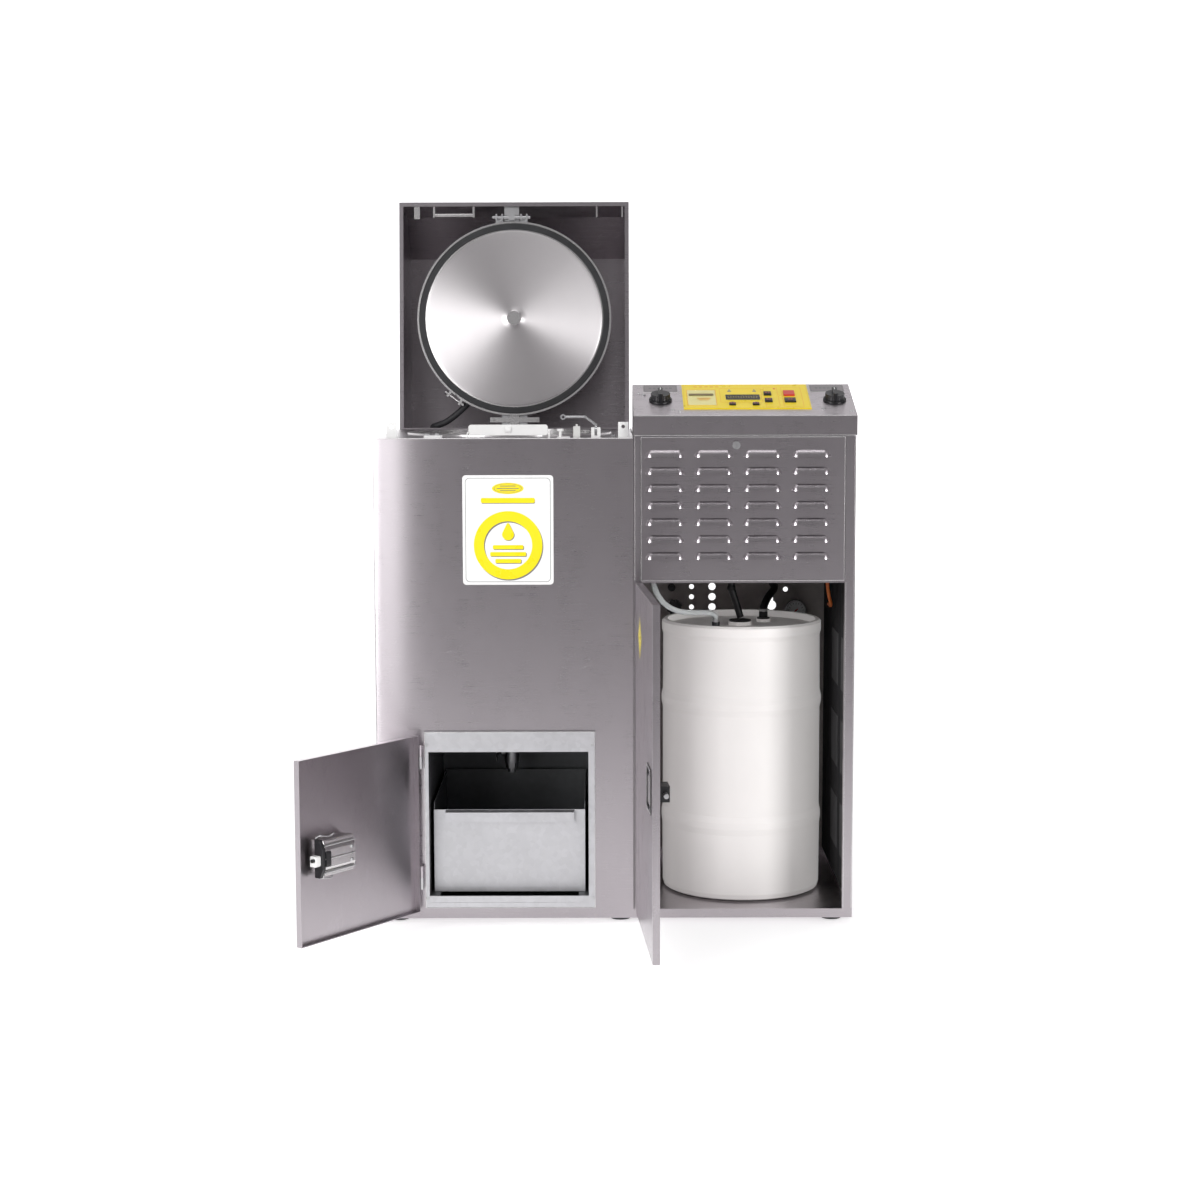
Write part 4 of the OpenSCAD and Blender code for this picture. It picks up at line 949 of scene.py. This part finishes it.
def drum_caps():
    """White caps round the drum's bungs, with ribs for the fingers."""
    top = 627
    bm = bmesh.new()
    for x, y, r, h in ((810, 300, 25.3, 10), (748, 178, 15.3, 8.5), (868, 360, 15.3, 8.5)):
        lathe(bm, at(x, y, top), UP, [(r * MM, 0), (r * MM, h * 0.75 * MM), ((r - 1.5) * MM, h * MM),
                                      ((r * 0.5) * MM, (h + 0.4) * MM), ((r * 0.5) * MM, h * 0.6 * MM)], 40)
        ribs = 10
        for k in range(ribs):
            a = 2 * math.pi * k / ribs
            spot = at(x + r * math.cos(a), y + r * math.sin(a), top)
            tube(bm, [spot, spot + UP * h * 0.8 * MM], 1.1 * MM, 6)
    place("drum_bung_caps", bm, MATERIAL["drum_plastic"], "cabinet", "drum_plastic")


def hose_clamps():
    """Worm-drive bands where the hoses are pushed on."""
    bm = bmesh.new()
    for x, y, z, r in ((748, 178, 651, 7.0), (868, 360, 654, 10.0), (605, 70, 746, 7.0)):
        lathe(bm, at(x, y, z), UP, [((r - 0.8) * MM, -3 * MM), (r * MM, -3 * MM), (r * MM, 3 * MM),
                                    ((r - 0.8) * MM, 3 * MM)], 28)
        slab(bm, at(x - 3, y - r - 4, z - 3), at(x + 3, y - r + 0.4, z + 3))
    place("hose_clamps", bm, MATERIAL["zinc"], "cabinet", "zinc")


def foot_pads():
    """Rubber rims on the levelling feet."""
    bm = bmesh.new()
    rim = [(0, 0.05), (21.9, 0.05), (22.0, 2.2), (20, 5.3), (12, 5.6)]
    for x in (40, 532, 1000):
        for y in (60, 555):
            lathe(bm, at(x, y, 0), UP, scaled(rim), 40)
    place("foot_rims", bm, MATERIAL["rubber"], "cabinet", "rubber")


folded_edge_highlights()
door_diamond()
latch_trim()
bin_latch_cover()
wall_shade_pads_and_gauze()
gauge_parts()
drum_caps()
hose_clamps()
foot_pads()


# ------------------------------------------------------------- stage, light

def flat_sheet(name, corners, colour, glow):
    """A matt sheet of the studio, with a little glow of its own so that it reads white."""
    bm = bmesh.new()
    bm.faces.new([bm.verts.new(c) for c in corners])
    mesh = bpy.data.meshes.new(name)
    bm.to_mesh(mesh)
    bm.free()
    sheet = bpy.data.objects.new(name, mesh)
    bpy.context.collection.objects.link(sheet)
    material, _, _, surface = new_material(name + "_paint")
    surface.inputs["Base Color"].default_value = (*colour, 1)
    surface.inputs["Roughness"].default_value = 0.95
    surface.inputs["Specular IOR Level"].default_value = 0.05
    surface.inputs["Emission Color"].default_value = (1, 1, 1, 1)
    surface.inputs["Emission Strength"].default_value = glow
    mesh.materials.append(material)


def stage():
    """A white sweep round the machine, and a quieter floor nearer the camera for the doors to reflect."""
    wide, near, edge, far, high = 24.0, -8.0, -1.75, 9.0, 7.0
    under = -0.0005
    flat_sheet("floor", [(-wide, edge, under), (wide, edge, under), (wide, far, under), (-wide, far, under)],
               (0.9, 0.9, 0.9), 0.5)
    flat_sheet("floor_front", [(-wide, near, under), (wide, near, under), (wide, edge, under),
                               (-wide, edge, under)], (0.32, 0.31, 0.32), 0.0)
    flat_sheet("backdrop", [(-wide, far, under), (wide, far, under), (wide, far, high), (-wide, far, high)],
               (0.9, 0.9, 0.9), 0.9)


def area_light(name, location, target, size, energy, size_y=None):
    """A rectangular lamp aimed at a target."""
    data = bpy.data.lights.new(name, "AREA")
    data.energy = energy
    data.shape = "RECTANGLE"
    data.size = size
    data.size_y = size_y or size
    light = bpy.data.objects.new(name, data)
    bpy.context.collection.objects.link(light)
    light.location = location
    light.rotation_euler = (Vector(target) - Vector(location)).to_track_quat("-Z", "Y").to_euler()
    return light


def lights():
    """Soft boxes on both sides and above, and a pair of fills that light the drum alone."""
    world = bpy.data.worlds.new("studio")
    bpy.context.scene.world = world
    world.use_nodes = True
    background = world.node_tree.nodes["Background"]
    background.inputs["Color"].default_value = (1, 0.98, 1, 1)
    background.inputs["Strength"].default_value = 0.25
    area_light("left_box", (-2.6, -3.3, 1.6), (0.3, 0.0, 0.7), 1.7, 115, 2.8)
    area_light("left_soft", (-1.25, -3.9, 1.4), (0.0, 0.0, 0.8), 0.8, 14, 2.6)
    area_light("right_box", (4.1, -3.8, 1.4), (0.7, 0.0, 0.6), 1.7, 120, 2.0)
    area_light("top", (0.5, 0.4, 4.2), (0.5, 0.3, 0.5), 2.6, 55)
    lit = bpy.data.collections.new("drum_fill_on")
    for obj in (NODES["drum"], bpy.data.objects["drum_bung_caps"]):
        lit.objects.link(obj)
    for name, x, power in (("drum_fill_left", -3.3, 86), ("drum_fill_right", 4.8, 100)):
        fill = area_light(name, (x, -1.9, 1.3), (0.75, 0.25, 0.4), 2.4, power, 2.4)
        fill.light_linking.receiver_collection = lit
        fill.light_linking.blocker_collection = lit


stage()
lights()
bpy.context.scene.view_settings.view_transform = "Standard"
